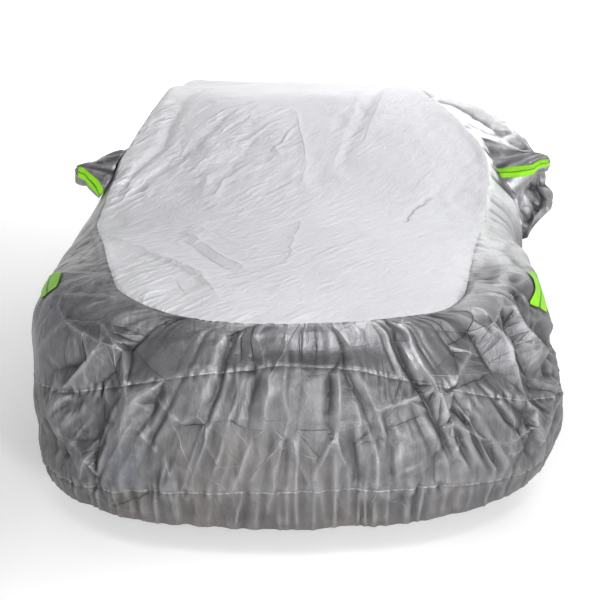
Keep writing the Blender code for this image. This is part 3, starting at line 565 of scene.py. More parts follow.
# A broad crease as a soft fold of the lower front's middle: share of its width and of its rise, sharp.
SOFTENED = (0.7, 0.8, 0.75)
LOW_MIDDLE_LINE = 0.66
WANDER = 0.0045
FINE_WANDER = 0.0018
NET_EDGE = 0.62
STEEPEST_BEND = 0.60
SHORT_EDGE = 0.03
MARK_REACH = 0.012
WEAKEST_MARK = 0.08
FOLD_REACH = 0.030
# A fold's height is measured from the cloth this far around it, and this much is a full fold.
FOLD_AROUND = 0.022
FOLD_FULL = 0.0045
CRINKLES = (
    # size of the facets, depth, squeeze along the height, seed
    (0.170, 0.0200, 0.75, 11),
    (0.080, 0.0110, 0.85, 23),
    (0.036, 0.0042, 1.00, 37),
)


def skirt_at(around, height):
    """Point of the skirt at a distance round and a height above the ground."""
    levels = np.linspace(SEAM, HEM, 121)
    heights = skirt_surface(np.full_like(levels, around), levels)[:, 2] + ROOF_HEIGHT
    level = np.interp(-height, -heights, levels)
    return skirt_surface(np.array([around]), np.array([level]))[0]


def top_chart():
    """A chart of points of the top panel, in which a place across and along is looked up."""
    around, share = np.meshgrid(np.linspace(HALF_ROUND[HOOD_CORNER], HALF_ROUND[TAIL_CORNER], 420),
                                np.linspace(-1, 1, 161))
    return top_surface(around.ravel(), share.ravel())


TOP_CHART = top_chart()


def top_at(across, along):
    away = np.hypot(TOP_CHART[:, 0] - across, TOP_CHART[:, 1] + ROOF_ALONG - along)
    return TOP_CHART[np.argmin(away)]


def crease_paths(table, place_on):
    """Creases as paths in space: (width, rise at the start, rise at the end, sharp, points)."""
    paths = []
    for width, start, end, sharp, *spots in table:
        places = []
        for near, far in zip(spots, spots[1:]):
            steps = max(1, round(math.dist(near, far) / CREASE_STEP))
            places += [np.add(near, np.subtract(far, near) * step / steps) for step in range(steps)]
        places.append(np.array(spots[-1]))
        paths.append((width, start, end, sharp, np.array([place_on(*spot) for spot in places])))
    return paths


def low_middle(around, height):
    """1 in the middle of the lower front, where the cloth hangs in long soft folds and not in flat facets."""
    return fade(past(np.abs(around + 0.02), 0.22), 0.30) * falling(height, LOW_MIDDLE_LINE, 0.08)


def thin(table):
    """The narrow creases of a table, the soft folds of the lower front's middle, and the nipped edges that
    run along the sharp broad creases."""
    rows = [row for row in table if row[0] < BROAD_CREASE]
    broad = [row for row in table if row[0] >= BROAD_CREASE]
    for width, start, end, _, *spots in broad:
        soft = low_middle(*np.mean(spots, axis=0))
        if soft > 0.3:
            share = SOFTENED[1] * soft
            rows.append((SOFTENED[0] * width, share * start, share * end, SOFTENED[2], *spots))
    for _, start, end, sharp, *spots in broad:
        if sharp >= BROAD_SHARP:
            rows.append((NIP[0], NIP[1] * start, NIP[1] * end, NIP[2], *spots))
    return rows


CREASES = crease_paths(thin(SKIRT_CREASES), skirt_at) + crease_paths(thin(TOP_CREASES), top_at)


def wandered(points):
    """The points moved about a little, so that creases don't run dead straight."""
    moved = [
        soft_noise(points, 0.055, 70 + axis) + 0.5 * soft_noise(points, 0.022, 80 + axis) for axis in range(3)
    ]
    return points + WANDER * np.stack(moved, axis=-1)


def crease_rise(points, out, paths):
    """The rise of the creases at each point, and a mark of the nearest one."""
    total = np.zeros(len(points))
    mark = no_mark(len(points))
    for width, start, end, sharp, path in paths:
        reach = CREASE_REACH * width
        inside = (points > path.min(axis=0) - reach) & (points < path.max(axis=0) + reach)
        near = np.flatnonzero(inside.all(axis=1))
        if not len(near):
            continue
        spots = points[near]
        away = np.full(len(near), np.inf)
        share = np.zeros(len(near))
        side = np.ones(len(near))
        steps = len(path) - 1
        for step in range(steps):
            run = path[step + 1] - path[step]
            part = np.clip((spots - path[step]) @ run / max(run @ run, 1e-12), 0, 1)
            off = spots - path[step] - part[:, None] * run
            gap = np.linalg.norm(off, axis=1)
            closer = gap < away
            away = np.where(closer, gap, away)
            share = np.where(closer, (step + part) / steps, share)
            side = np.where(closer, np.sign((np.cross(run, out[near]) * off).sum(axis=1)), side)
        to_end = np.minimum(share, 1 - share) * steps * CREASE_STEP
        taper = np.clip(to_end / (END_TAPER * width), 0, 1)
        shape = (1 - sharp) * np.exp(-((away / width) ** 2)) + sharp * np.exp(-NIPPED_FALL * away / width)
        total[near] += (start + (end - start) * share) * (taper * (1 - END_SHARE) + END_SHARE) * shape
        strong = math.copysign(min(1, 0.35 + abs(start + end) * 40), start + end) * taper
        mark[near] = nearer(mark[near], np.stack([away * side, strong], axis=-1))
    return total, mark


def no_mark(count):
    """Marks of no crease: a signed distance, and a strength above 0 on a ridge and below 0 in a trough."""
    return np.tile((1.0, 0.0), (count, 1))


def nearer(first, second):
    """Of two sets of marks, the one whose crease lies nearer. A crease over MARK_REACH away marks nothing."""
    away, strong = np.abs(second).T
    pick = (away < np.abs(first[:, 0])) & (away < MARK_REACH) & (strong > WEAKEST_MARK)
    return np.where(pick[:, None], second, first)


class FoldNet:
    """Flat facets that meet along the broad creases of a table. Its corners are the creases' points, and
    loose points between them that rise a little at random."""

    def __init__(self, table, start, end, spacing, loose, seed):
        spots, rises = [], []
        for width, first, last, sharp, *path in table:
            if width < BROAD_CREASE:
                continue
            path = np.array(path)
            runs = np.concatenate([[0], np.cumsum(np.linalg.norm(np.diff(path, axis=0), axis=1))])
            steps = max(1, round(runs[-1] / CREASE_STEP))
            for share in np.linspace(0, 1, steps + 1):
                spots.append([np.interp(share * runs[-1], runs, path[:, axis]) for axis in (0, 1)])
                rises.append(first + (last - first) * share)
        creased = np.array(spots)
        counts = [math.ceil((far - near) / step) for near, far, step in zip(start, end, spacing)]
        for i in range(counts[0] + 1):
            for j in range(counts[1] + 1):
                cell = np.array((i, j))
                push = np.array([scattered(cell, seed + axis) for axis in (1, 2)]) - 0.5
                spot = np.array(start) + (cell + 0.5 * (j % 2) * np.array((1, 0)) + 0.7 * push) * spacing
                if (np.linalg.norm((creased - spot) / spacing, axis=1) > NET_EDGE).all():
                    spots.append(spot)
                    rises.append(loose * (2 * scattered(cell, seed) - 1))
        found = delaunay_2d_cdt([Vector(spot) for spot in spots], [], [], 0, 1e-4)
        self.spots = np.array([tuple(spot) for spot in found[0]])
        self.rises = np.array([np.mean([rises[number] for number in known]) for known in found[3]])
        self.faces = np.array([tuple(face) for face in found[2]])
        self.bends = self.measure_bends()

    def measure_bends(self):
        """How sharply the net bends at the edge across from each corner of a face: above 0 on a ridge."""
        slopes, edges = [], {}
        for number, face in enumerate(self.faces):
            spots, rises = self.spots[face], self.rises[face]
            sides = np.stack([spots[1] - spots[0], spots[2] - spots[0]])
            slopes.append(np.linalg.lstsq(sides, rises[1:] - rises[0], rcond=None)[0])
            for corner in range(3):
                pair = tuple(sorted((face[corner - 2], face[corner - 1])))
                edges.setdefault(pair, []).append((number, corner))
        bends = np.zeros((len(self.faces), 3))
        for pair, sharing in edges.items():
            if len(sharing) == 2:
                (one, corner), (other, far_corner) = sharing
                along = unit(self.spots[pair[1]] - self.spots[pair[0]])
                inward = np.array((-along[1], along[0]))
                if (self.spots[self.faces[one][corner]] - self.spots[pair[0]]) @ inward < 0:
                    inward = -inward
                length = math.dist(self.spots[pair[0]], self.spots[pair[1]])
                long = np.clip((length - SHORT_EDGE) / SHORT_EDGE, 0.2, 1)
                bends[one, corner] = bends[other, far_corner] = -(slopes[one] - slopes[other]) @ inward * long
        return np.clip(bends / STEEPEST_BEND, -1, 1)

    def rise(self, first, second):
        """The rise of the net at each point, and a mark of the nearest edge of its face."""
        order = np.argsort(first)
        first, second = first[order], second[order]
        total = np.zeros(len(first))
        mark = no_mark(len(first))
        corners = self.spots[self.faces]
        starts = corners[:, :, 0]
        slices = np.searchsorted(first, np.stack([starts.min(axis=1), starts.max(axis=1)]))
        for face, spot, bend, (near, far) in zip(self.faces, corners, self.bends, slices.T):
            if near == far:
                continue
            edges = spot[1:] - spot[0]
            wide = edges[0, 0] * edges[1, 1] - edges[0, 1] * edges[1, 0]
            if abs(wide) < 1e-9:
                continue
            over, up = first[near:far] - spot[0, 0], second[near:far] - spot[0, 1]
            shares = np.stack([
                over * edges[1, 1] - up * edges[1, 0], up * edges[0, 0] - over * edges[0, 1],
            ]) / wide
            inside = (shares >= -1e-6).all(axis=0) & (shares.sum(axis=0) <= 1 + 1e-6)
            level = self.rises[face]
            value = level[0] + shares[0] * (level[1] - level[0]) + shares[1] * (level[2] - level[0])
            total[near:far][inside] = value[inside]
            three = np.stack([1 - shares.sum(axis=0), *shares])[:, inside]
            for corner in range(3):
                ends = [(face[turn], tuple(spot[turn])) for turn in range(3) if turn != corner]
                length = math.dist(ends[0][1], ends[1][1])
                side = 1 if (ends[0][0] < ends[1][0]) == (wide * (1, -1, 1)[corner] > 0) else -1
                gap = three[corner] * abs(wide) / length * side
                where = np.arange(near, far)[inside]
                mark[where] = nearer(mark[where], np.stack([gap, np.full(len(gap), bend[corner])], axis=-1))
        back, marks = np.empty_like(total), np.empty_like(mark)
        back[order], marks[order] = total, mark
        return back, marks


FAN = 1.75
FAN_TOP = 0.85
FAN_FOLDS = (
    # size across, size along, depth, seed
    (0.066, 0.90, 0.0150, 101),
    (0.031, 0.70, -0.0080, 103),
    (0.015, 0.45, 0.0030, 105),
)


def facets(points, size, seed):
    """Flat facets that meet in straight folds, as on crumpled foil, between about -1 and 1."""
    turn = np.array(Euler((0.7 + seed, 0.4 + 2.0 * seed, 1.1 + 3.0 * seed)).to_matrix())
    where = points @ turn / size
    where = where + 0.22 * np.stack([soft_noise(where, 0.9, seed + axis) for axis in range(3)], axis=-1)
    base = np.floor(where)
    part = where - base
    order = np.argsort(-part, axis=1)
    corner = base.copy()
    before = np.ones(len(points))
    total = np.zeros(len(points))
    pick = np.arange(len(points))
    for axis in range(3):
        following = part[pick, order[:, axis]]
        total += (before - following) * scattered(corner, seed)
        corner[pick, order[:, axis]] += 1
        before = following
    total += before * scattered(corner, seed)
    return 2 * total - 1


def crinkles(points):
    """Crumpled facets of several sizes, for an amount of 1."""
    total = np.zeros(len(points))
    for size, depth, squeeze, seed in CRINKLES:
        strong = np.clip(0.55 + 0.9 * soft_noise(points, size * 2.4, seed + 9), 0.12, 1)
        total += depth * strong * facets(points * (1, 1, squeeze), size, seed)
    return total


def crumpled(points, calm):
    amount = np.full(len(points), calm)
    for across, along, height, reach, extra in CRUMPLED:
        amount += extra * fade(np.linalg.norm(points - place(across, along, height), axis=1), reach)
    return amount


SKIRT_FOLDS = FoldNet(
    SKIRT_CREASES, (-ROUND_END - 0.1, 0.10), (ROUND_END + 0.1, 1.55), (0.095, 0.15), 0.0034, 51,
)
TOP_FOLDS = FoldNet(TOP_CREASES, (-1.1, -0.1), (1.1, 4.6), (0.13, 0.16), 0.0040, 52)
DOOR_FOLDS = FoldNet(DOOR_CREASES, (1.80, 0.30), (3.10, 1.60), (0.075, 0.085), 0.0120, 53)


def folds(net, first, second):
    """The rise of a net of folds, whose lines wander a little."""
    where = np.stack([first, second], axis=-1)
    moved = [
        WANDER * soft_noise(where, 0.06, seed) + FINE_WANDER * soft_noise(where, 0.018, seed + 5)
        for seed in (71, 72)
    ]
    return net.rise(first + moved[0], second + moved[1])


def pleats(around, height):
    """Broad upright waves of both sides, between the pockets and the tail."""
    away = np.abs(around)
    along_side = rising(away, PLEAT_START, PLEAT_FADE) * falling(away, ROUND_END, PLEAT_FADE)
    between_seams = falling(height, 1.25, 0.35) * rising(height, HEM_HEIGHT, 0.25)
    wander = 0.35 * np.sin(1.7 * around) + 0.5 * height * np.sin(0.9 * around)
    wave = np.sin(2 * math.pi * (around / PLEAT_PITCH + wander))
    return PLEAT_RISE * wave * along_side * between_seams


def fan_folds(around, height):
    """Long straight folds that fan out from the middle of the nose down to the hem."""
    where = np.stack([around, height], axis=-1)
    spread = around / (1 + FAN * (FAN_TOP - height)) + 0.004 * soft_noise(where, 0.15, 15)
    total = np.zeros(len(around))
    for size, reach, depth, seed in FAN_FOLDS:
        strong = np.clip(0.5 + 0.9 * soft_noise(where, size * 5, seed + 1), 0.1, 1)
        total += depth * strong * sharp_noise(spread / size, height / reach, seed)
    low = falling(height, LOW_MIDDLE_LINE, 0.14)
    return total * (0.40 + 1.45 * low) * fade(past(np.abs(around), 0.42 + 0.25 * low), 0.50)


ROOT_ROUND = 1.83
ROOT_HEIGHT = 1.00
ROOT_RISE = 0.0075
ROOT_PITCH = 0.026


def root_pleats(around, height):
    """Close pleats that hang from the right pocket."""
    near = fade(around - ROOT_ROUND, 0.30) * fade(height - ROOT_HEIGHT, 0.34)
    return ROOT_RISE * near * sharp_noise(around / ROOT_PITCH + 0.8 * (height - 1.1), height / 0.6, 95)


# Upright folds: depth, size round, size up, seed.
BROAD_HANGING = (0.0130, 0.085, 0.55, 5)
FINE_HANGING = (0.0030, 0.022, 0.16, 9)
CLOSE_GATHERS = (0.0105, 0.028, 0.30, 7)
WIDE_GATHERS = (0.0050, 0.085, 0.50, 8)
HEM_REACH = 0.095


def swayed(around, height, amount, seed):
    """The distance round, moved a little so that upright folds don't stand dead straight."""
    return around + amount * soft_noise(np.stack([around, height], axis=-1), 0.11, seed)


def hanging_folds(around, height):
    """Upright folds of the lower bands, and the finer ones that hang from the nose seam."""
    around = swayed(around, height, 0.02, 3)
    broad, fine = (
        (depth, flat_noise(around / wide, height / tall, seed))
        for depth, wide, tall, seed in (BROAD_HANGING, FINE_HANGING)
    )
    front = fade(around + 0.08, 0.34) * rising(height, 0.62, 0.08)
    return broad[0] * falling(height, 0.60, 0.25) * (np.abs(broad[1]) - 0.3) + fine[0] * front * fine[1]


def hem_gathers(around, height):
    """Close folds where the elastic in the hem draws the cloth together."""
    around = swayed(around, height, 0.012, 4)
    at_hem = np.exp(-past(height, HEM_HEIGHT) / HEM_REACH) * (0.5 + 0.5 * fade(around, 1.0))
    at_hem *= np.clip((height - HEM_HEIGHT) / 0.035, 0.4, 1)
    return at_hem * sum(
        depth * sharp_noise(around / wide, height / tall, seed)
        for depth, wide, tall, seed in (CLOSE_GATHERS, WIDE_GATHERS)
    )


# depth, reach and seed of the gathers along the top seam
TOP_GATHERS = (0.0030, 0.022, 31)
# depth of the gathers along the seams at the foot of the upper and of the lower band
BAND_GATHERS = {BELT: 0.0075, LOW_SEAM: 0.0040}
BAND_GATHERS_REACH = 0.026
PUCKER_PITCH = 0.019
SEAM_WIDTH = 0.006
SEAM_SINK = 0.0025
JOIN_SINK = 0.002


def puckers(run, away, depth, reach, seed):
    """Small gathers that stand across a seam and die out at `reach` from it."""
    strong = 0.4 + 0.6 * np.clip(0.5 + soft_noise(run[:, None], 0.16, seed + 1), 0, 1)
    return depth * strong * sharp_noise(run / PUCKER_PITCH, away / 0.05, seed) * np.exp(-away / reach)


def seam_groove(away, sink=SEAM_SINK):
    return sink * np.exp(-((away / SEAM_WIDTH) ** 2))


def seam_track():
    """The top panel's seam as close points, with their distances round and the skirt's outward directions."""
    around = np.linspace(-ROUND_END, ROUND_END, 2400)
    spots = skirt_surface(around, np.zeros_like(around))
    below = skirt_surface(around, np.full_like(around, 0.12))
    onward = unit(np.gradient(spots, axis=0))
    tree = KDTree(len(around))
    for number, spot in enumerate(spots):
        tree.insert(spot, number)
    tree.balance()
    return around, unit(np.cross(below - spots, onward)), tree


SEAM_ROUND, SEAM_OUT, SEAM_TREE = seam_track()


def nearest_seam(points):
    found = [SEAM_TREE.find(point)[1:] for point in points]
    return np.array([row[0] for row in found]), np.array([row[1] for row in found])


class Cloth:
    """A piece of cloth as a grid of points on a surface. Rows run down the skirt, or across the top panel."""

    def __init__(self, columns, rows, surface):
        self.columns, self.rows = np.asarray(columns), np.asarray(rows)
        first, second = np.meshgrid(self.columns, self.rows)
        self.first, self.second = first.ravel(), second.ravel()
        self.base = surface(self.first, self.second)
        grid = self.base.reshape(len(rows), len(columns), 3)
        down, onward = np.gradient(grid, axis=0), np.gradient(grid, axis=1)
        self.out = unit(np.cross(down, onward).reshape(-1, 3))
        step_down = np.linalg.norm(np.diff(grid, axis=0), axis=2)
        step_on = np.linalg.norm(np.diff(grid, axis=1), axis=2)
        self.down = np.concatenate([np.zeros((1, len(columns))), np.cumsum(step_down, axis=0)])
        self.onward = np.concatenate([np.zeros((len(rows), 1)), np.cumsum(step_on, axis=1)], axis=1)
        self.height = self.base[:, 2] + ROOF_HEIGHT
        self.rise = np.zeros(len(self.base))
        self.points = self.base.copy()
        self.away = np.full(len(self.base), 1.0)
        self.mark = no_mark(len(self.base))

    def from_top(self):
        return self.down.ravel()

    def from_foot(self):
        return (self.down[-1:] - self.down).ravel()

    def from_start(self):
        return self.onward.ravel()

    def from_end(self):
        return (self.onward[:, -1:] - self.onward).ravel()

    def sew(self, away, depth, reach, seed, stitched=True):
        """Gathers the cloth along a seam that lies `away` from each point, and sinks the seam itself."""
        if stitched:
            self.away = np.minimum(self.away, away)
        self.rise += puckers(self.first, away, depth, reach, seed)
        self.rise -= seam_groove(away)

    def fold_heights(self):
        """How far each point stands above the cloth around it, from -1 in a trough to 1 on a ridge."""
        grid = self.rise.reshape(len(self.rows), len(self.columns))
        down = self.down[-1].mean() / (len(self.rows) - 1)
        onward = self.onward[:, -1].mean() / (len(self.columns) - 1)
        level = grid
        for axis, step in enumerate((down, onward)):
            reach = min(max(1, round(FOLD_AROUND / step)), grid.shape[axis] // 2)
            rim = [(reach + 1, reach) if axis == way else (0, 0) for way in (0, 1)]
            padded = np.pad(level, rim, mode="edge")
            running = np.cumsum(padded, axis=axis)
            width = 2 * reach + 1
            level = (np.take(running, range(width, running.shape[axis]), axis=axis)
                     - np.take(running, range(running.shape[axis] - width), axis=axis)) / width
        return np.clip((grid - level) / FOLD_FULL, -1, 1).ravel()

    def settle(self):
        self.points = self.base + self.out * self.rise[:, None]

    def crease(self, paths, net, first, second, soft=False):
        """The rises of the creases and of the net. It keeps their marks, without those of a soft net."""
        creased, mark = crease_rise(wandered(self.base), self.out, paths)
        folded, net_mark = folds(net, first, second)
        self.mark = nearer(self.mark, mark) if soft else nearer(nearer(self.mark, mark), net_mark)
        return creased, folded


def spaced(start, end, pitch):
    return np.linspace(start, end, max(2, round(abs(end - start) / pitch)) + 1)


def levels_between(surface, around, first, last, pitch):
    """Rows from one level to another, about a pitch apart on the cloth."""
    rows = [np.array([float(first)])]
    for level in range(first, last):
        inside = np.linspace(level, level + 1, 9)
        lengths = []
        for where in np.linspace(*around, 7):
            points = surface(np.full_like(inside, where), inside)
            lengths.append(np.linalg.norm(np.diff(points, axis=0), axis=1).sum())
        count = max(3, math.ceil(np.mean(lengths) / pitch))
        rows.append(np.linspace(level, level + 1, count + 1)[1:])
    return np.concatenate(rows)


TAPE_HOLD = 0.8
TAPE_HOLD_REACH = 0.20


def held_flat(around, height):
    """1 away from the fender tapes, and less where a sewn tape holds the cloth flat."""
    total = np.ones(len(around))
    for corners in FENDER_TAPES.values():
        middle = np.mean(corners, axis=0)
        away = np.hypot(around - middle[0], 1.4 * (height - middle[1]))
        total *= 1 - TAPE_HOLD * fade(away, TAPE_HOLD_REACH)
    return total


def creased_skirt(cloth, net, around):
    """The rise that skirt pieces share with what is sewn to them, and that of the folds of a net."""
    creased, folded = cloth.crease(CREASES, net, around, cloth.height)
    return creased + crumpled(cloth.base, CALM) * crinkles(cloth.base), folded


def dress_skirt(cloth, net=SKIRT_FOLDS):
    """Creases, crinkles, pleats and hanging folds of a skirt piece, before its seams are drawn in."""
    around, height = cloth.first, cloth.height
    shared, folded = creased_skirt(cloth, net, around)
    held = falling(np.abs(around), ROUND_END, 0.10) * (1 - 0.45 * fade(around, 0.75))
    for join in (FRONT_JOIN, DOOR_END):
        held *= rising(np.abs(around - join), 0, FOLD_REACH)
    held *= 1 - 0.85 * low_middle(around, height)
    own = held * folded + pleats(around, height) + root_pleats(around, height)
    own += fan_folds(around, height) + hanging_folds(around, height)
    if cloth.rows[0] == SEAM:
        own *= rising(cloth.from_top(), 0, FOLD_REACH)
    calm = 0.3 + 0.7 * rising(mouth_measure(around, cloth.second), 1, 1)
    calm *= np.clip((height - HEM_HEIGHT) / 0.16, 0.30, 1) * held_flat(around, height)
    cloth.rise += (shared + own) * calm + hem_gathers(around, height)


def add_piece(name, cloth, slot, replaced):
    """Makes the mesh of a piece from its grid of points, in the finish of its slot."""
    mesh = bmesh.new()
    columns, rows = len(cloth.columns), len(cloth.rows)
    bmesh.ops.create_grid(mesh, x_segments=columns - 1, y_segments=rows - 1, size=1.0)
    bmesh.ops.reverse_faces(mesh, faces=mesh.faces[:])
    data = bpy.data.meshes.new(name)
    mesh.to_mesh(data)
    mesh.free()
    flat = np.empty(len(data.vertices) * 3)
    data.vertices.foreach_get("co", flat)
    flat = flat.reshape(-1, 3)
    column = np.rint((flat[:, 0] + 1) / 2 * (columns - 1)).astype(int)
    row = np.rint((flat[:, 1] + 1) / 2 * (rows - 1)).astype(int)
    spot = row * columns + column
    data.vertices.foreach_set("co", cloth.points[spot].ravel())
    corners = np.empty(len(data.loops), np.int32)
    data.loops.foreach_get("vertex_index", corners)
    sewing = data.uv_layers.new(name="sewing")
    sewing.data.foreach_set("uv", np.stack([cloth.first, cloth.away], axis=-1)[spot][corners].ravel())
    for label, values in zip(MARKS, (*cloth.mark.T, cloth.fold_heights())):
        marked = data.attributes.new(label, "FLOAT", "POINT")
        marked.data.foreach_set("value", values[spot])
    data.update()
    data.materials.append(FINISHES[slot])
    data.shade_smooth()
    piece = bpy.data.objects.new(name, data)
    bpy.context.scene.collection.objects.link(piece)
    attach(piece, "root")
    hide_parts(replaced)
    return piece


# ------------------------------------------------------------------------------------------- finishes
# Marks that the finishes read for bump, and for painted highlights on ridges and painted shade in troughs.
MARKS = ("crease_away", "crease_strength", "fold_height")
# Light silver of the seam threads, also laid on crease and fold ridges as a painted highlight.
THREAD_SILVER_AND_PAINTED_HIGHLIGHT = (0.80, 0.80, 0.83)
# Painted shade laid along the creases that lie in troughs.
PAINTED_CREASE_SHADE = (0.05, 0.05, 0.053)
WARM_TINT = (0.120, 0.098, 0.080)
COOL_TINT = (0.090, 0.108, 0.138)
TAPE_GREENS = ((0.215, 0.600, 0.006), (0.300, 0.720, 0.016))
TAPE_CHANNEL = (0.020, 0.070, 0.010)


def summed(operation):
    """An operator on values, and its reflected form."""
    def plain(self, other):
        return self.sum(operation, self, other)

    def reflected(self, other):
        return self.sum(operation, other, self)

    return plain, reflected


class Value:
    """A number on a socket, which takes part in sums as a plain number does."""

    __add__, __radd__ = summed("ADD")
    __sub__, __rsub__ = summed("SUBTRACT")
    __mul__, __rmul__ = summed("MULTIPLY")
    __truediv__, __rtruediv__ = summed("DIVIDE")
    __pow__, __rpow__ = summed("POWER")

    def __init__(self, tree, socket):
        self.tree, self.socket = tree, socket

    def sum(self, operation, *terms):
        node = self.tree.nodes.new("ShaderNodeMath")
        node.operation = operation
        for place_in, term in zip(node.inputs, terms):
            if isinstance(term, Value):
                self.tree.links.new(term.socket, place_in)
            else:
                place_in.default_value = term
        return Value(self.tree, node.outputs[0])

    def below(self, other):
        return self.sum("LESS_THAN", self, other)

    def sine(self):
        return self.sum("SINE", self)

    def size(self):
        return self.sum("ABSOLUTE", self)

    def held(self, low=0.0, high=1.0):
        return self.sum("MINIMUM", self.sum("MAXIMUM", self, low), high)


class Finish:
    """One finish of the cover: a Principled shader and the nodes that lead to it."""

    def __init__(self, name, shine):
        self.material = bpy.data.materials.new(name)
        self.material.use_nodes = True
        self.tree = self.material.node_tree
        self.shader = self.tree.nodes["Principled BSDF"]
        self.shader.inputs["Specular IOR Level"].default_value = shine
        places = self.node("ShaderNodeTexCoord")
        self.place = places.outputs["Object"]
        self.sewing = self.node("ShaderNodeSeparateXYZ", sockets={0: places.outputs["UV"]})

    def node(self, kind, settings=None, sockets=None):
        node = self.tree.nodes.new(kind)
        for name, value in (settings or {}).items():
            setattr(node, name, value)
        for name, value in (sockets or {}).items():
            self.feed(node.inputs[name], value)
        return node

    def feed(self, socket, value):
        if isinstance(value, Value):
            value = value.socket
        if isinstance(value, bpy.types.NodeSocket):
            self.tree.links.new(value, socket)
        else:
            socket.default_value = value

    def value(self, node, output=0):
        return Value(self.tree, node.outputs[output])

    def marked(self, label):
        return self.value(self.node("ShaderNodeAttribute", {"attribute_name": label}), "Fac")

    def noise(self, scale, detail=2.0, rough=0.5, where=None):
        sockets = {"Vector": where or self.place, "Scale": scale, "Detail": detail, "Roughness": rough}
        return self.value(self.node("ShaderNodeTexNoise", sockets=sockets), "Fac")

    def stretched(self, longer, turn=(0.0, 0.0, 0.0)):
        """Coordinates whose pattern is drawn out along its own axes, which are first turned."""
        sockets = {"Vector": self.place, "Scale": longer, "Rotation": turn}
        return self.node("ShaderNodeMapping", {"vector_type": "TEXTURE"}, sockets).outputs[0]

    def mix(self, first, second, share):
        """A colour between two, each of them three numbers or a socket."""
        first, second = ((*colour, 1) if isinstance(colour, tuple) else colour for colour in (first, second))
        node = self.node("ShaderNodeMix", {"data_type": "RGBA"}, {0: share, 6: first, 7: second})
        return node.outputs[2]

    def bump(self, height, distance):
        sockets = {"Height": height, "Distance": distance, "Strength": 1.0}
        return self.node("ShaderNodeBump", sockets=sockets).outputs[0]

    def finish(self, **sockets):
        for name, value in sockets.items():
            self.feed(self.shader.inputs[name.replace("_", " ").title()], value)
        return self.material


def silver_cloth(name, base, dark, metallic, roughness, relief, lie, tints=0.0, painted_sheen=None, shown=1.0):
    """Silver-coated taffeta: a fine weave, nipped wrinkles too small for the mesh, and a stitched seam.

    `lie` is how far the wrinkles are drawn out and which way they turn, `tints` how strongly the ground
    colours the low cloth, `painted_sheen` a painted sheen laid on the cloth near the top and weaker on the
    left, and `shown` how strongly the painted highlights on the folds' ridges and the painted shade in their
    troughs show. Along the nipped creases the colour also holds a painted highlight on ridges and painted
    shade in troughs."""
    cloth = Finish(name, 0.5)
    run, away = cloth.value(cloth.sewing, 0), cloth.value(cloth.sewing, 1)
    creased, strength, folded = (cloth.marked(label) for label in MARKS)
    place = cloth.node("ShaderNodeSeparateXYZ", sockets={0: cloth.place})
    across, height = cloth.value(place, 0), cloth.value(place, 2)
    lying = cloth.stretched(*lie)
    broad = cloth.noise(3.1, 3.0)
    fine = cloth.noise(75.0, 5.0, 0.65)
    streak = cloth.noise(40.0, 4.0, 0.6, where=lying)
    grain = cloth.noise(620.0, 2.0)
    weave = cloth.noise(230.0, 3.0, 0.7, where=lying)

    # Thin line along each crease: a bump, and also a painted highlight on ridges and painted shade in
    # troughs.
    nipped = (1 - (creased + (cloth.noise(70.0, 2.0) - 0.5) * 0.003).size() / 0.0021).held() * strength
    nipped = nipped * (cloth.noise(11.0, 2.0) * 3.0 - 0.9).held(0.1, 1.0)
    patchy = ((cloth.noise(4.3, 2.0) - 0.42) * 5.0).held(0.1, 1.0) * (0.6 - across * 0.9).held(0.25, 1.0)
    wrinkle = 1 - ((cloth.noise(9.0, 2.0, 0.5, where=lying) - 0.5).size() * 17.0).held()
    little = 1 - ((cloth.noise(26.0, 2.0, 0.5, where=lying) - 0.5).size() * 12.0).held()
    threads = ((run * 1100.0).sine() * 0.5 + 0.5) * away.below(0.0035)
    stitched = (1 - (away / 0.0026).held()) * (cloth.noise(95.0, 1.0) * 4.0 - 1.5).held()

    worn = (broad - 0.85 + fine * 0.2 + weave * 1.2).held()
    colour = cloth.mix(base, dark, worn)
    # Painted sheen: the cloth is paled towards the top, where it faces the light above, and less so on the
    # left, away from the light.
    if painted_sheen:
        high = ((height + 0.62 + (broad - 0.5) * 0.25) * 5.0).held() * (1.1 - worn * 0.6)
        not_beyond = 1 - ((across - 0.96) * 9.0).held() * 0.75
        less_on_left = 0.4 + (across * 1.5 + 0.3).held() * 0.6
        colour = cloth.mix(colour, painted_sheen, (high * not_beyond * less_on_left).held())
    # Light seam threads, and a painted highlight along the nipped creases that stand as ridges.
    colour = cloth.mix(colour, THREAD_SILVER_AND_PAINTED_HIGHLIGHT, (stitched * 0.34 + threads * 0.1 + nipped.held() * 0.28).held())
    # Painted shade along the nipped creases that lie in troughs.
    colour = cloth.mix(colour, PAINTED_CREASE_SHADE, (nipped * -0.85).held())
    # Painted highlight on the folds' ridges and painted shade in their troughs, by the fold_height attribute.
    colour = cloth.mix(colour, THREAD_SILVER_AND_PAINTED_HIGHLIGHT, folded.held() * (0.11 * shown))
    colour = cloth.mix(colour, tuple(0.35 * part for part in dark), (folded * (-0.60 * shown)).held())
    if tints:
        low = ((-0.80 - height) * 4.0).held()
        patches = cloth.noise(3.7, 1.0, where=cloth.stretched((0.45, 0.45, 1.7)))
        colour = cloth.mix(colour, WARM_TINT, ((cloth.noise(2.6, 1.0) - 0.46) * 5.0).held() * low * tints)
        colour = cloth.mix(colour, COOL_TINT, ((patches - 0.60) * 7.0).held() * low * tints)
    raised = wrinkle * patchy * 0.9 + little * patchy * 0.4 + fine * 0.25 + streak * 0.8 + weave * 0.3
    raised = raised + grain * 0.2 + threads * 0.12 + nipped * 0.9
    rough = roughness + (fine - 0.5) * 0.22 + (broad - 0.5) * 0.12
    return cloth.finish(
        base_color=colour, metallic=metallic, roughness=rough.held(0.15, 0.9),
        normal=cloth.bump(raised, relief),
    )


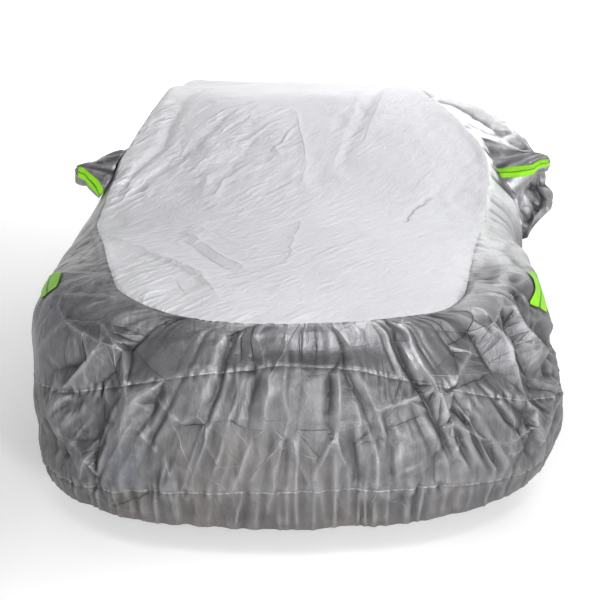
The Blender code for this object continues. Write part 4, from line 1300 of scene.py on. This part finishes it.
def green_tape(name):
    """Fluorescent tape with a dark stitched channel along its middle, by its own width from 0 to 1."""
    tape = Finish(name, 0.4)
    run, across = tape.value(tape.sewing, 0), tape.value(tape.sewing, 1)
    middle = 1 - ((across - 0.5).size() / 0.07).held()
    edge = 1 - ((0.5 - (across - 0.5).size()) / 0.05).held()
    ribs = (run * 2600.0).sine() * 0.5 + 0.5
    colour = tape.mix(*TAPE_GREENS, tape.noise(40.0, 2.0))
    colour = tape.mix(colour, TAPE_CHANNEL, (middle ** 0.5 * 0.9 + edge * 0.25).held())
    relief = ribs * 0.3 - middle * 0.8 - edge * 0.3 + tape.noise(90.0, 2.0) * 0.6
    rough = 0.42 + tape.noise(60.0) * 0.2
    return tape.finish(base_color=colour, metallic=0.0, roughness=rough, normal=tape.bump(relief, 0.0006))


LIES_SLANTED = ((1.0, 4.5, 1.6), (0.0, 0.0, -0.93))
HANGS_DOWN = ((1.0, 1.0, 4.0), (0.0, 0.0, 0.0))
# The colours are lit and shaded copies of one silver cloth. The top panel's pale colour is partly a paler
# panel and partly painted light from above. The upper, lower and hem bands and the pockets are darkened as
# painted shade, darkest towards the ground.
SILVER_CLOTHS = {
    # finish: colour, darker colour; metallic, roughness, relief, lie, and what else differs
    "top_cloth": (
        (0.83, 0.83, 0.86), (0.70, 0.70, 0.73),
        0.45, 0.46, 0.0095, LIES_SLANTED, {"shown": 0.4},
    ),
    "upper_cloth": (
        (0.165, 0.165, 0.174), (0.080, 0.080, 0.085),
        0.50, 0.36, 0.0034, HANGS_DOWN, {"painted_sheen": (0.92, 0.92, 0.94)},
    ),
    "lower_cloth": (
        (0.120, 0.120, 0.127), (0.048, 0.048, 0.051),
        0.28, 0.37, 0.0034, HANGS_DOWN, {"tints": 0.35},
    ),
    "hem_cloth": (
        (0.085, 0.085, 0.090), (0.032, 0.032, 0.035),
        0.28, 0.38, 0.0034, HANGS_DOWN, {"tints": 0.35},
    ),
    "pocket_cloth": (
        (0.38, 0.38, 0.40), (0.13, 0.13, 0.14),
        0.70, 0.32, 0.0034, HANGS_DOWN, {},
    ),
}
FINISHES = {name: silver_cloth(name, *row, **more) for name, (*row, more) in SILVER_CLOTHS.items()}
FINISHES["bright_tape"] = green_tape("bright_green_tape")


# ---------------------------------------------------------------------------------------- skirt pieces
MOUTHS = {
    # side: middle and half length round, middle and half height in levels
    "left": (-1.9773, 0.0900, 0.625, 0.375),
    "right": (2.0073, 0.1200, 0.625, 0.375),
}
MOUTH_POWER = 3.0
SIGN = {"left": -1, "right": 1}

BANDS = {"upper": (SEAM, BELT), "lower": (BELT, LOW_SEAM), "hem": (LOW_SEAM, HEM)}
SPANS = {
    # part of the skirt: start and end round, pitch of the grid, pitch of the hem's grid
    "front": (-FRONT_JOIN, FRONT_JOIN, PITCH, HEM_PITCH),
    "left": (-REAR_JOIN, -FRONT_JOIN, FAR_PITCH, FAR_HEM_PITCH),
    "right_rear": (DOOR_END, REAR_JOIN, FAR_PITCH, FAR_HEM_PITCH),
    "rear": (REAR_JOIN, 2 * ROUND_END - REAR_JOIN, FAR_PITCH, FAR_HEM_PITCH),
}
HEM_ROLL = 0.007
ROLL_ROWS = 7
TOP_WIDTH = 1.30
TOP_NET_SHARE = 0.4
TOP_CALM = 0.16


def round_tail(surface):
    """The same surface for distances that run on past the middle of the tail to the other side."""
    def onward(around, level):
        return surface(np.where(around > ROUND_END, around - 2 * ROUND_END, around), level)
    return onward


def mouth_measure(around, level):
    """Below 1 inside a pocket's mouth and above 1 outside both."""
    measures = []
    for middle, half_round, centre, half_level in MOUTHS.values():
        parts = ((around - middle) / half_round, (level - centre) / half_level)
        measures.append(sum(np.abs(part) ** MOUTH_POWER for part in parts))
    return np.minimum(*measures)


def roll_hem(cloth, level):
    """Turns the last rows of a hem round the elastic that runs inside it."""
    turn = np.clip(level - HEM, 0, None) * math.radians(200)
    rolled = turn > 0
    inward = -cloth.out * (1, 1, 0)
    move = inward * (1 - np.cos(turn))[:, None] - (0, 0, 1) * np.sin(turn)[:, None]
    cloth.points += move * HEM_ROLL * rolled[:, None]


def skirt_piece(name, start, end, band, pitch):
    surface = round_tail(skirt_surface)
    first, last = BANDS[band]
    columns = spaced(start, end, pitch)
    rows = levels_between(surface, (start, end), first, last, pitch)
    if last == HEM:
        rows = np.concatenate([rows, np.linspace(HEM, HEM + 1, ROLL_ROWS + 1)[1:]])
    cloth = Cloth(columns, rows, lambda around, level: surface(around, np.minimum(level, HEM)))
    if last == HEM:
        steady = cloth.out.reshape(len(rows), len(columns), 3)
        steady[-ROLL_ROWS - 2:] = steady[-ROLL_ROWS - 3]
        cloth.out = steady.reshape(-1, 3)
    cloth.first = np.where(cloth.first > ROUND_END, cloth.first - 2 * ROUND_END, cloth.first)
    dress_skirt(cloth)
    if first == SEAM:
        cloth.sew(cloth.from_top(), *TOP_GATHERS, stitched=False)
    for level, away in ((first, cloth.from_top()), (last, cloth.from_foot())):
        if level in BAND_GATHERS:
            cloth.sew(away, BAND_GATHERS[level], BAND_GATHERS_REACH, 41 + level)
    for away in (cloth.from_start(), cloth.from_end()):
        cloth.rise -= seam_groove(away, JOIN_SINK)
    cloth.settle()
    if last == HEM:
        scallop = 0.006 * np.clip(soft_noise(cloth.first[:, None], 0.075, 61) + 0.2, -0.4, 1)
        share = np.clip(cloth.second - LOW_SEAM, 0, 1)
        cloth.points[:, 2] += scallop * share ** 2
        roll_hem(cloth, cloth.second)
    return add_piece(name + "_cloth", cloth, band + "_cloth", name)


def skirt_pieces():
    for span, (start, end, pitch, hem_pitch) in SPANS.items():
        for band in BANDS:
            parts = {f"{span}_{band}": (start, end)}
            if (span, band) == ("front", "lower"):
                parts = {"front_lower": (start, BAND_JOIN), "front_lower_end": (BAND_JOIN, end)}
            for name, ends in parts.items():
                yield skirt_piece(name, *ends, band, hem_pitch if band == "hem" else pitch)


def door_piece():
    ends = (FRONT_JOIN, DOOR_END)
    rows = levels_between(door_surface, ends, SEAM, BELT, DOOR_PITCH)
    cloth = Cloth(spaced(*ends, DOOR_PITCH), rows, door_surface)
    dress_skirt(cloth, DOOR_FOLDS)
    cloth.sew(cloth.from_top(), *TOP_GATHERS, stitched=False)
    cloth.settle()
    return add_piece("right_door_cloth_sheet", cloth, "upper_cloth", "right_door_cloth")


def top_piece():
    around = np.concatenate([
        spaced(HALF_ROUND[HOOD_CORNER], DOOR_END, TOP_PITCH),
        spaced(DOOR_END, HALF_ROUND[TAIL_CORNER], FAR_TOP_PITCH)[1:],
    ])
    share = spaced(-1, 1, 2 * TOP_PITCH / TOP_WIDTH)
    cloth = Cloth(around, share, top_surface)
    number, away = nearest_seam(cloth.base)
    run, out = SEAM_ROUND[number], SEAM_OUT[number]
    near = fade(away, SEAM_BLEND)[:, None]
    cloth.out = unit(cloth.out * (1 - near) + out * near)
    across, along = cloth.base[:, 0], cloth.base[:, 1] + ROOF_ALONG
    creased, folded = cloth.crease(CREASES, TOP_FOLDS, across, along, soft=True)
    cloth.rise += creased + TOP_NET_SHARE * rising(away, 0, FOLD_REACH) * folded
    calm = TOP_CALM + (CALM - TOP_CALM) * fade(away, 0.12)
    cloth.rise += crumpled(cloth.base, calm) * crinkles(cloth.base)
    cloth.rise += puckers(run, away, *TOP_GATHERS)
    cloth.rise -= seam_groove(away)
    cloth.first = run
    cloth.settle()
    return add_piece("top_panel_cloth", cloth, "top_cloth", "top_panel")


# --------------------------------------------------------------------------------- pockets and tapes
POCKETS = {
    # side: tip, half depth, half height, turn of the tip in degrees
    "left": ((-0.945, 1.330, 1.130), 0.072, 0.052, -8.0),
    "right": ((1.030, 1.230, 1.185), 0.085, 0.056, 22.0),
}
POCKET_RINGS = (
    # way out from the mouth, size of the ring
    (0.00, 1.00), (0.22, 1.02), (0.50, 1.04), (0.78, 0.96), (0.93, 0.78), (1.00, 0.42), (1.025, 0.02),
)
FLANGE = 0.20
FLANGE_LIFT = 0.003
POCKET_TAPES = {
    # side: rows of ring, lower turn and upper turn round the section in degrees
    "left": ((0.0, 180.0, 206.0), (1.0, 163.0, 200.0), (2.0, 150.0, 200.0), (3.2, 124.0, 180.0)),
    "right": (
        (-0.3, 212.0, 243.0), (0.0, 210.0, 241.0), (1.0, 188.0, 225.0), (2.0, 168.0, 202.0),
        (3.5, 171.0, 206.0),
    ),
}
FENDER_TAPES = {
    # side: corners as (round, height), two at the outer end and then two at the nose end
    "left": ((-1.374, 0.860), (-1.233, 0.901), (-1.176, 0.824), (-1.098, 0.872)),
    "right": ((1.225, 0.852), (1.140, 0.890), (1.090, 0.750), (0.998, 0.806)),
}
TAPE_LIFT = 0.0045


def mouth_points(side, turn, grown=1.0):
    """Points of the mouth's rim on the side cloth, by the turn round it."""
    middle, half_round, centre, half_level = MOUTHS[side]
    cosine, sine = np.cos(turn), np.sin(turn)
    across = np.sign(cosine) * np.abs(cosine) ** (2 / MOUTH_POWER) * half_round * grown
    up = np.sign(sine) * np.abs(sine) ** (2 / MOUTH_POWER) * half_level * grown
    around = middle + SIGN[side] * across
    level = centre - up
    points = skirt_surface(around, level)
    if side == "right":
        points = np.where((around > FRONT_JOIN)[:, None], door_surface(around, level), points)
    return points


def pocket_surface(side):
    """Surface of a pocket: turn round the section, and ring from -1 on the side cloth to the last ring."""
    tip, half_depth, half_height, angle = POCKETS[side]
    tip = place(*tip)
    rim = mouth_points(side, np.linspace(0, 2 * math.pi, 73)[:-1])
    centre = rim.mean(axis=0)
    depth_way = np.array((-math.sin(math.radians(angle)), math.cos(math.radians(angle)), 0.0))
    outward = unit(tip - centre)

    def surface(turn, ring):
        table = np.array(POCKET_RINGS)
        share = np.interp(ring, range(len(table)), table[:, 0])
        size = np.interp(ring, range(len(table)), table[:, 1])
        flange = np.clip(-ring, 0, 1)
        root = mouth_points(side, turn) - centre
        spread = mouth_points(side, turn, 1.0 + FLANGE) - centre
        root = root + (spread - root) * flange[:, None] + outward * FLANGE_LIFT
        section = depth_way * (half_depth * np.cos(turn))[:, None]
        section = section + np.array((0, 0, 1)) * (half_height * np.sin(turn))[:, None]
        mixed = root + (section - root) * np.minimum(1, share * 1.6)[:, None]
        return centre + (tip - centre) * share[:, None] + mixed * size[:, None]

    return surface, centre, tip


def pocket_relief(points, turn, ring, centre, tip):
    """Pleats that run out from the gathered mouth, and crumpled cloth towards the tip."""
    share = np.clip((points - centre) @ (tip - centre) / ((tip - centre) @ (tip - centre)), 0, 1.1)
    round_it = np.stack([np.cos(turn), np.sin(turn)], axis=-1)
    pleat = 1 - 2.6 * np.abs(soft_noise(np.column_stack([round_it * 2.2, share * 0.7]), 1.0, 91))
    deep = 0.0110 * (1 - 0.6 * np.clip(share, 0, 1))
    return deep * pleat * np.clip((ring + 1) / 1.2, 0, 1) + 0.9 * crinkles(points)


def pocket_piece(side):
    surface, centre, tip = pocket_surface(side)
    turns = np.linspace(0, 2 * math.pi, 121) * -SIGN[side]
    last = len(POCKET_RINGS) - 1
    rings = np.concatenate([[-1.0, -0.5], np.linspace(0, last - 1, 52), np.linspace(last - 1, last, 8)[1:]])
    cloth = Cloth(turns, rings, surface)
    cloth.rise += pocket_relief(cloth.base, cloth.first, cloth.second, centre, tip)
    last_rings = np.clip(cloth.second - (last - 0.5), 0, 0.5) * 2
    cloth.rise *= 1 - last_rings
    cloth.away = np.abs(cloth.second) * 0.03
    cloth.settle()
    name = "mirror_pocket_" + side
    piece = add_piece(name + "_cloth", cloth, "pocket_cloth", name)
    close_up(piece)
    return piece


def close_up(piece):
    """Joins the first and last columns of a piece that goes right round."""
    mesh = bmesh.new()
    mesh.from_mesh(piece.data)
    bmesh.ops.remove_doubles(mesh, verts=mesh.verts[:], dist=2e-4)
    bmesh.ops.recalc_face_normals(mesh, faces=mesh.faces[:])
    mesh.to_mesh(piece.data)
    mesh.free()
    piece.data.shade_smooth()


def tape_on(cloth, replaced, inwards):
    """Lays a tape on the cloth below it: its columns run along and its rows across."""
    grid_shape = (len(cloth.rows), len(cloth.columns))
    cloth.rise += TAPE_LIFT
    cloth.settle()
    across = np.linspace(0, 1, grid_shape[0])[:, None] * np.ones(grid_shape)
    cloth.first, cloth.away = cloth.from_start(), across.ravel()
    piece = add_piece(replaced + "_strip", cloth, "bright_tape", replaced)
    if inwards:
        piece.data.flip_normals()
    return piece


def pocket_tape(side):
    pocket, centre, tip = pocket_surface(side)
    table = np.array(POCKET_TAPES[side])

    def turned(ring, across):
        low, high = (np.interp(ring, table[:, 0], table[:, column]) for column in (1, 2))
        return np.radians(low + (high - low) * across) * -SIGN[side]

    def surface(ring, across):
        return pocket(turned(ring, across), ring)

    cloth = Cloth(spaced(*table[[0, -1], 0], 0.06), spaced(0, 1, 0.08), surface)
    turn = turned(cloth.first, cloth.second)
    inwards = ((cloth.base - centre - (tip - centre) * 0.5) * cloth.out).sum(axis=1).mean() < 0
    if inwards:
        cloth.out = -cloth.out
    cloth.rise += pocket_relief(cloth.base, turn, cloth.first, centre, tip)
    return tape_on(cloth, "pocket_tape_" + side, inwards)


def fender_tape(side):
    corners = np.array(FENDER_TAPES[side])

    def spot(along, across):
        outer = corners[0] + (corners[1] - corners[0]) * across
        inner = corners[2] + (corners[3] - corners[2]) * across
        return outer + (inner - outer) * along

    def surface(along, across):
        return np.array([skirt_at(*spot(*pair)) for pair in zip(along, across)])

    cloth = Cloth(spaced(0, 1, 0.03), spaced(0, 1, 0.08), surface)
    around = np.array([spot(*pair)[0] for pair in zip(cloth.first, cloth.second)])
    inwards = side == "left"
    if inwards:
        cloth.out = -cloth.out
    shared, folded = creased_skirt(cloth, SKIRT_FOLDS, around)
    own = folded + fan_folds(around, cloth.height) + hanging_folds(around, cloth.height)
    cloth.rise += (shared + own) * held_flat(around, cloth.height)
    return tape_on(cloth, "fender_tape_" + side, inwards)


# ------------------------------------------------------------------------------------- floor and light
FLOOR_RADIUS = 11.0
WALL_CURVE = 4.0
WALL_TOP = 9.0
FLOOR_LOOKS = {
    "Base Color": (0.93, 0.93, 0.93, 1), "Roughness": 0.9, "Specular IOR Level": 0.1,
    "Emission Color": (1, 1, 1, 1), "Emission Strength": 0.23,
}
LIGHTS = {
    # name: energy, size, place, what it points at, spread in degrees
    "overhead_light": (72, (3.0, 4.4), (1.5, 0.2, 2.1), (0.3, 0.0, 0.0), 180),
    "side_light": (100, (0.4, 0.4), (0.9, -5.1, -0.4), (-0.15, -2.2, -1.0), 180),
    "front_light": (10, (0.9, 0.7), (0.1, -4.4, 0.35), (0.0, -2.2, -0.7), 180),
    "floor_light": (8, (0.9, 0.6), (0.1, -4.9, 1.7), (0.0, -3.3, -1.45), 50),
    "back_floor_light": (260, (12.0, 4.0), (0.0, 6.5, 4.5), (0.0, 8.0, -1.45), 180),
    "wall_light": (900, (6.0, 3.0), (2.5, 6.5, 4.5), (3.5, 14.0, 1.5), 180),
}
WORLD_LIGHT = 0.20
PHOTO_SIZE = 600
PHOTO_FOCUS = 873.5
SENSOR = 36
CAMERA_PLACE = (-0.103, -4.716, 0.214)
CAMERA_DOWN, CAMERA_ROLL, CAMERA_TURN = 16.46, 0.15, -1.71


def floor_and_backdrop():
    """A round pale floor that curves up into a wall on all sides."""
    mesh = bmesh.new()
    profile = [(0.0, 0.0), (6.0, 0.0), (FLOOR_RADIUS, 0.0)]
    for angle in np.radians(range(10, 91, 10)):
        out, up = math.sin(angle), 1 - math.cos(angle)
        profile.append((FLOOR_RADIUS + WALL_CURVE * out, WALL_CURVE * up))
    profile.append((FLOOR_RADIUS + WALL_CURVE, WALL_TOP))
    verts = [mesh.verts.new((radius, 0.0, rise - ROOF_HEIGHT)) for radius, rise in profile]
    edges = [mesh.edges.new(pair) for pair in zip(verts, verts[1:])]
    bmesh.ops.spin(
        mesh, geom=verts + edges, cent=(0, 0, 0), axis=(0, 0, 1), angle=math.tau, steps=72, use_merge=True,
    )
    bmesh.ops.remove_doubles(mesh, verts=mesh.verts[:], dist=1e-4)
    bmesh.ops.recalc_face_normals(mesh, faces=mesh.faces[:])
    data = bpy.data.meshes.new("floor_and_backdrop")
    mesh.to_mesh(data)
    mesh.free()
    data.shade_smooth()
    paint = bpy.data.materials.new("pale_floor")
    paint.use_nodes = True
    for name, value in FLOOR_LOOKS.items():
        paint.node_tree.nodes["Principled BSDF"].inputs[name].default_value = value
    data.materials.append(paint)
    floor = bpy.data.objects.new("floor_and_backdrop", data)
    bpy.context.scene.collection.objects.link(floor)
    floor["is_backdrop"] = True


def soft_light(name, energy, size, spot, aim, spread):
    lamp = bpy.data.lights.new(name, "AREA")
    lamp.shape = "RECTANGLE"
    lamp.size, lamp.size_y = size
    lamp.energy = energy
    lamp.spread = math.radians(spread)
    light = bpy.data.objects.new(name, lamp)
    light.location = spot
    light.rotation_euler = (Vector(aim) - Vector(spot)).to_track_quat("-Z", "Y").to_euler()
    light.visible_camera = False
    bpy.context.scene.collection.objects.link(light)


def light_and_camera():
    for name, row in LIGHTS.items():
        soft_light(name, *row)
    world = bpy.data.worlds.new("pale_world")
    world.use_nodes = True
    background = world.node_tree.nodes["Background"]
    background.inputs["Color"].default_value = (1, 1, 1, 1)
    background.inputs["Strength"].default_value = WORLD_LIGHT
    bpy.context.scene.world = world
    bpy.context.scene.view_settings.view_transform = "Standard"
    lens = bpy.data.cameras.new("photo_camera")
    lens.sensor_width = SENSOR
    lens.lens = SENSOR * PHOTO_FOCUS / PHOTO_SIZE
    camera = bpy.data.objects.new("photo_camera", lens)
    camera.location = CAMERA_PLACE
    camera.rotation_euler = [math.radians(turn) for turn in (90 - CAMERA_DOWN, CAMERA_ROLL, CAMERA_TURN)]
    bpy.context.scene.collection.objects.link(camera)
    bpy.context.scene.camera = camera


# --------------------------------------------------------------------------------------- the cover
# Each piece as it was cut: width, length and area, how it is held, and what it lies on.
CUTS = {
    "top_panel_cloth": (1.60, 4.55, 5.70, "draped", []),
    "right_door_cloth_sheet": (0.90, 1.15, 0.62, "draped", []),
    "front_upper_cloth": (0.70, 4.00, 1.68, "draped", []),
    "front_lower_cloth": (0.42, 2.50, 0.90, "draped", []),
    "front_lower_end_cloth": (0.34, 1.58, 0.45, "draped", []),
    "front_hem_cloth": (0.15, 4.20, 0.50, "gathered", []),
    "left_upper_cloth": (0.98, 2.62, 2.20, "draped", []),
    "left_lower_cloth": (0.32, 2.48, 0.78, "draped", []),
    "left_hem_cloth": (0.13, 2.70, 0.34, "gathered", []),
    "right_rear_upper_cloth": (0.98, 1.55, 1.28, "draped", []),
    "right_rear_lower_cloth": (0.32, 1.47, 0.465, "draped", []),
    "right_rear_hem_cloth": (0.13, 1.60, 0.20, "gathered", []),
    "rear_upper_cloth": (0.64, 2.78, 1.27, "draped", []),
    "rear_lower_cloth": (0.35, 2.80, 0.93, "draped", []),
    "rear_hem_cloth": (0.13, 3.00, 0.38, "gathered", []),
    "mirror_pocket_left_cloth": (0.30, 0.32, 0.091, "draped", []),
    "mirror_pocket_right_cloth": (0.30, 0.40, 0.116, "draped", []),
    "pocket_tape_left_strip": (0.050, 0.145, 0.0070, "laid", ["mirror_pocket_left_cloth"]),
    "pocket_tape_right_strip": (0.050, 0.220, 0.0102, "laid", ["mirror_pocket_right_cloth"]),
    "fender_tape_left_strip": (0.125, 0.150, 0.0147, "laid", ["front_upper_cloth"]),
    "fender_tape_right_strip": (0.105, 0.160, 0.0154, "laid", ["front_upper_cloth"]),
}


def main():
    pieces = [top_piece(), door_piece(), *skirt_pieces()]
    for side in SIGN:
        pieces += [pocket_piece(side), pocket_tape(side), fender_tape(side)]
    for piece in pieces:
        width, length, area, held, under = CUTS[piece.name]
        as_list(under)
    floor_and_backdrop()
    light_and_camera()


main()
boxes = {"cad": solid_box, "scene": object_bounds()}
{name: [list(corner) for corner in box] for name, box in boxes.items()}
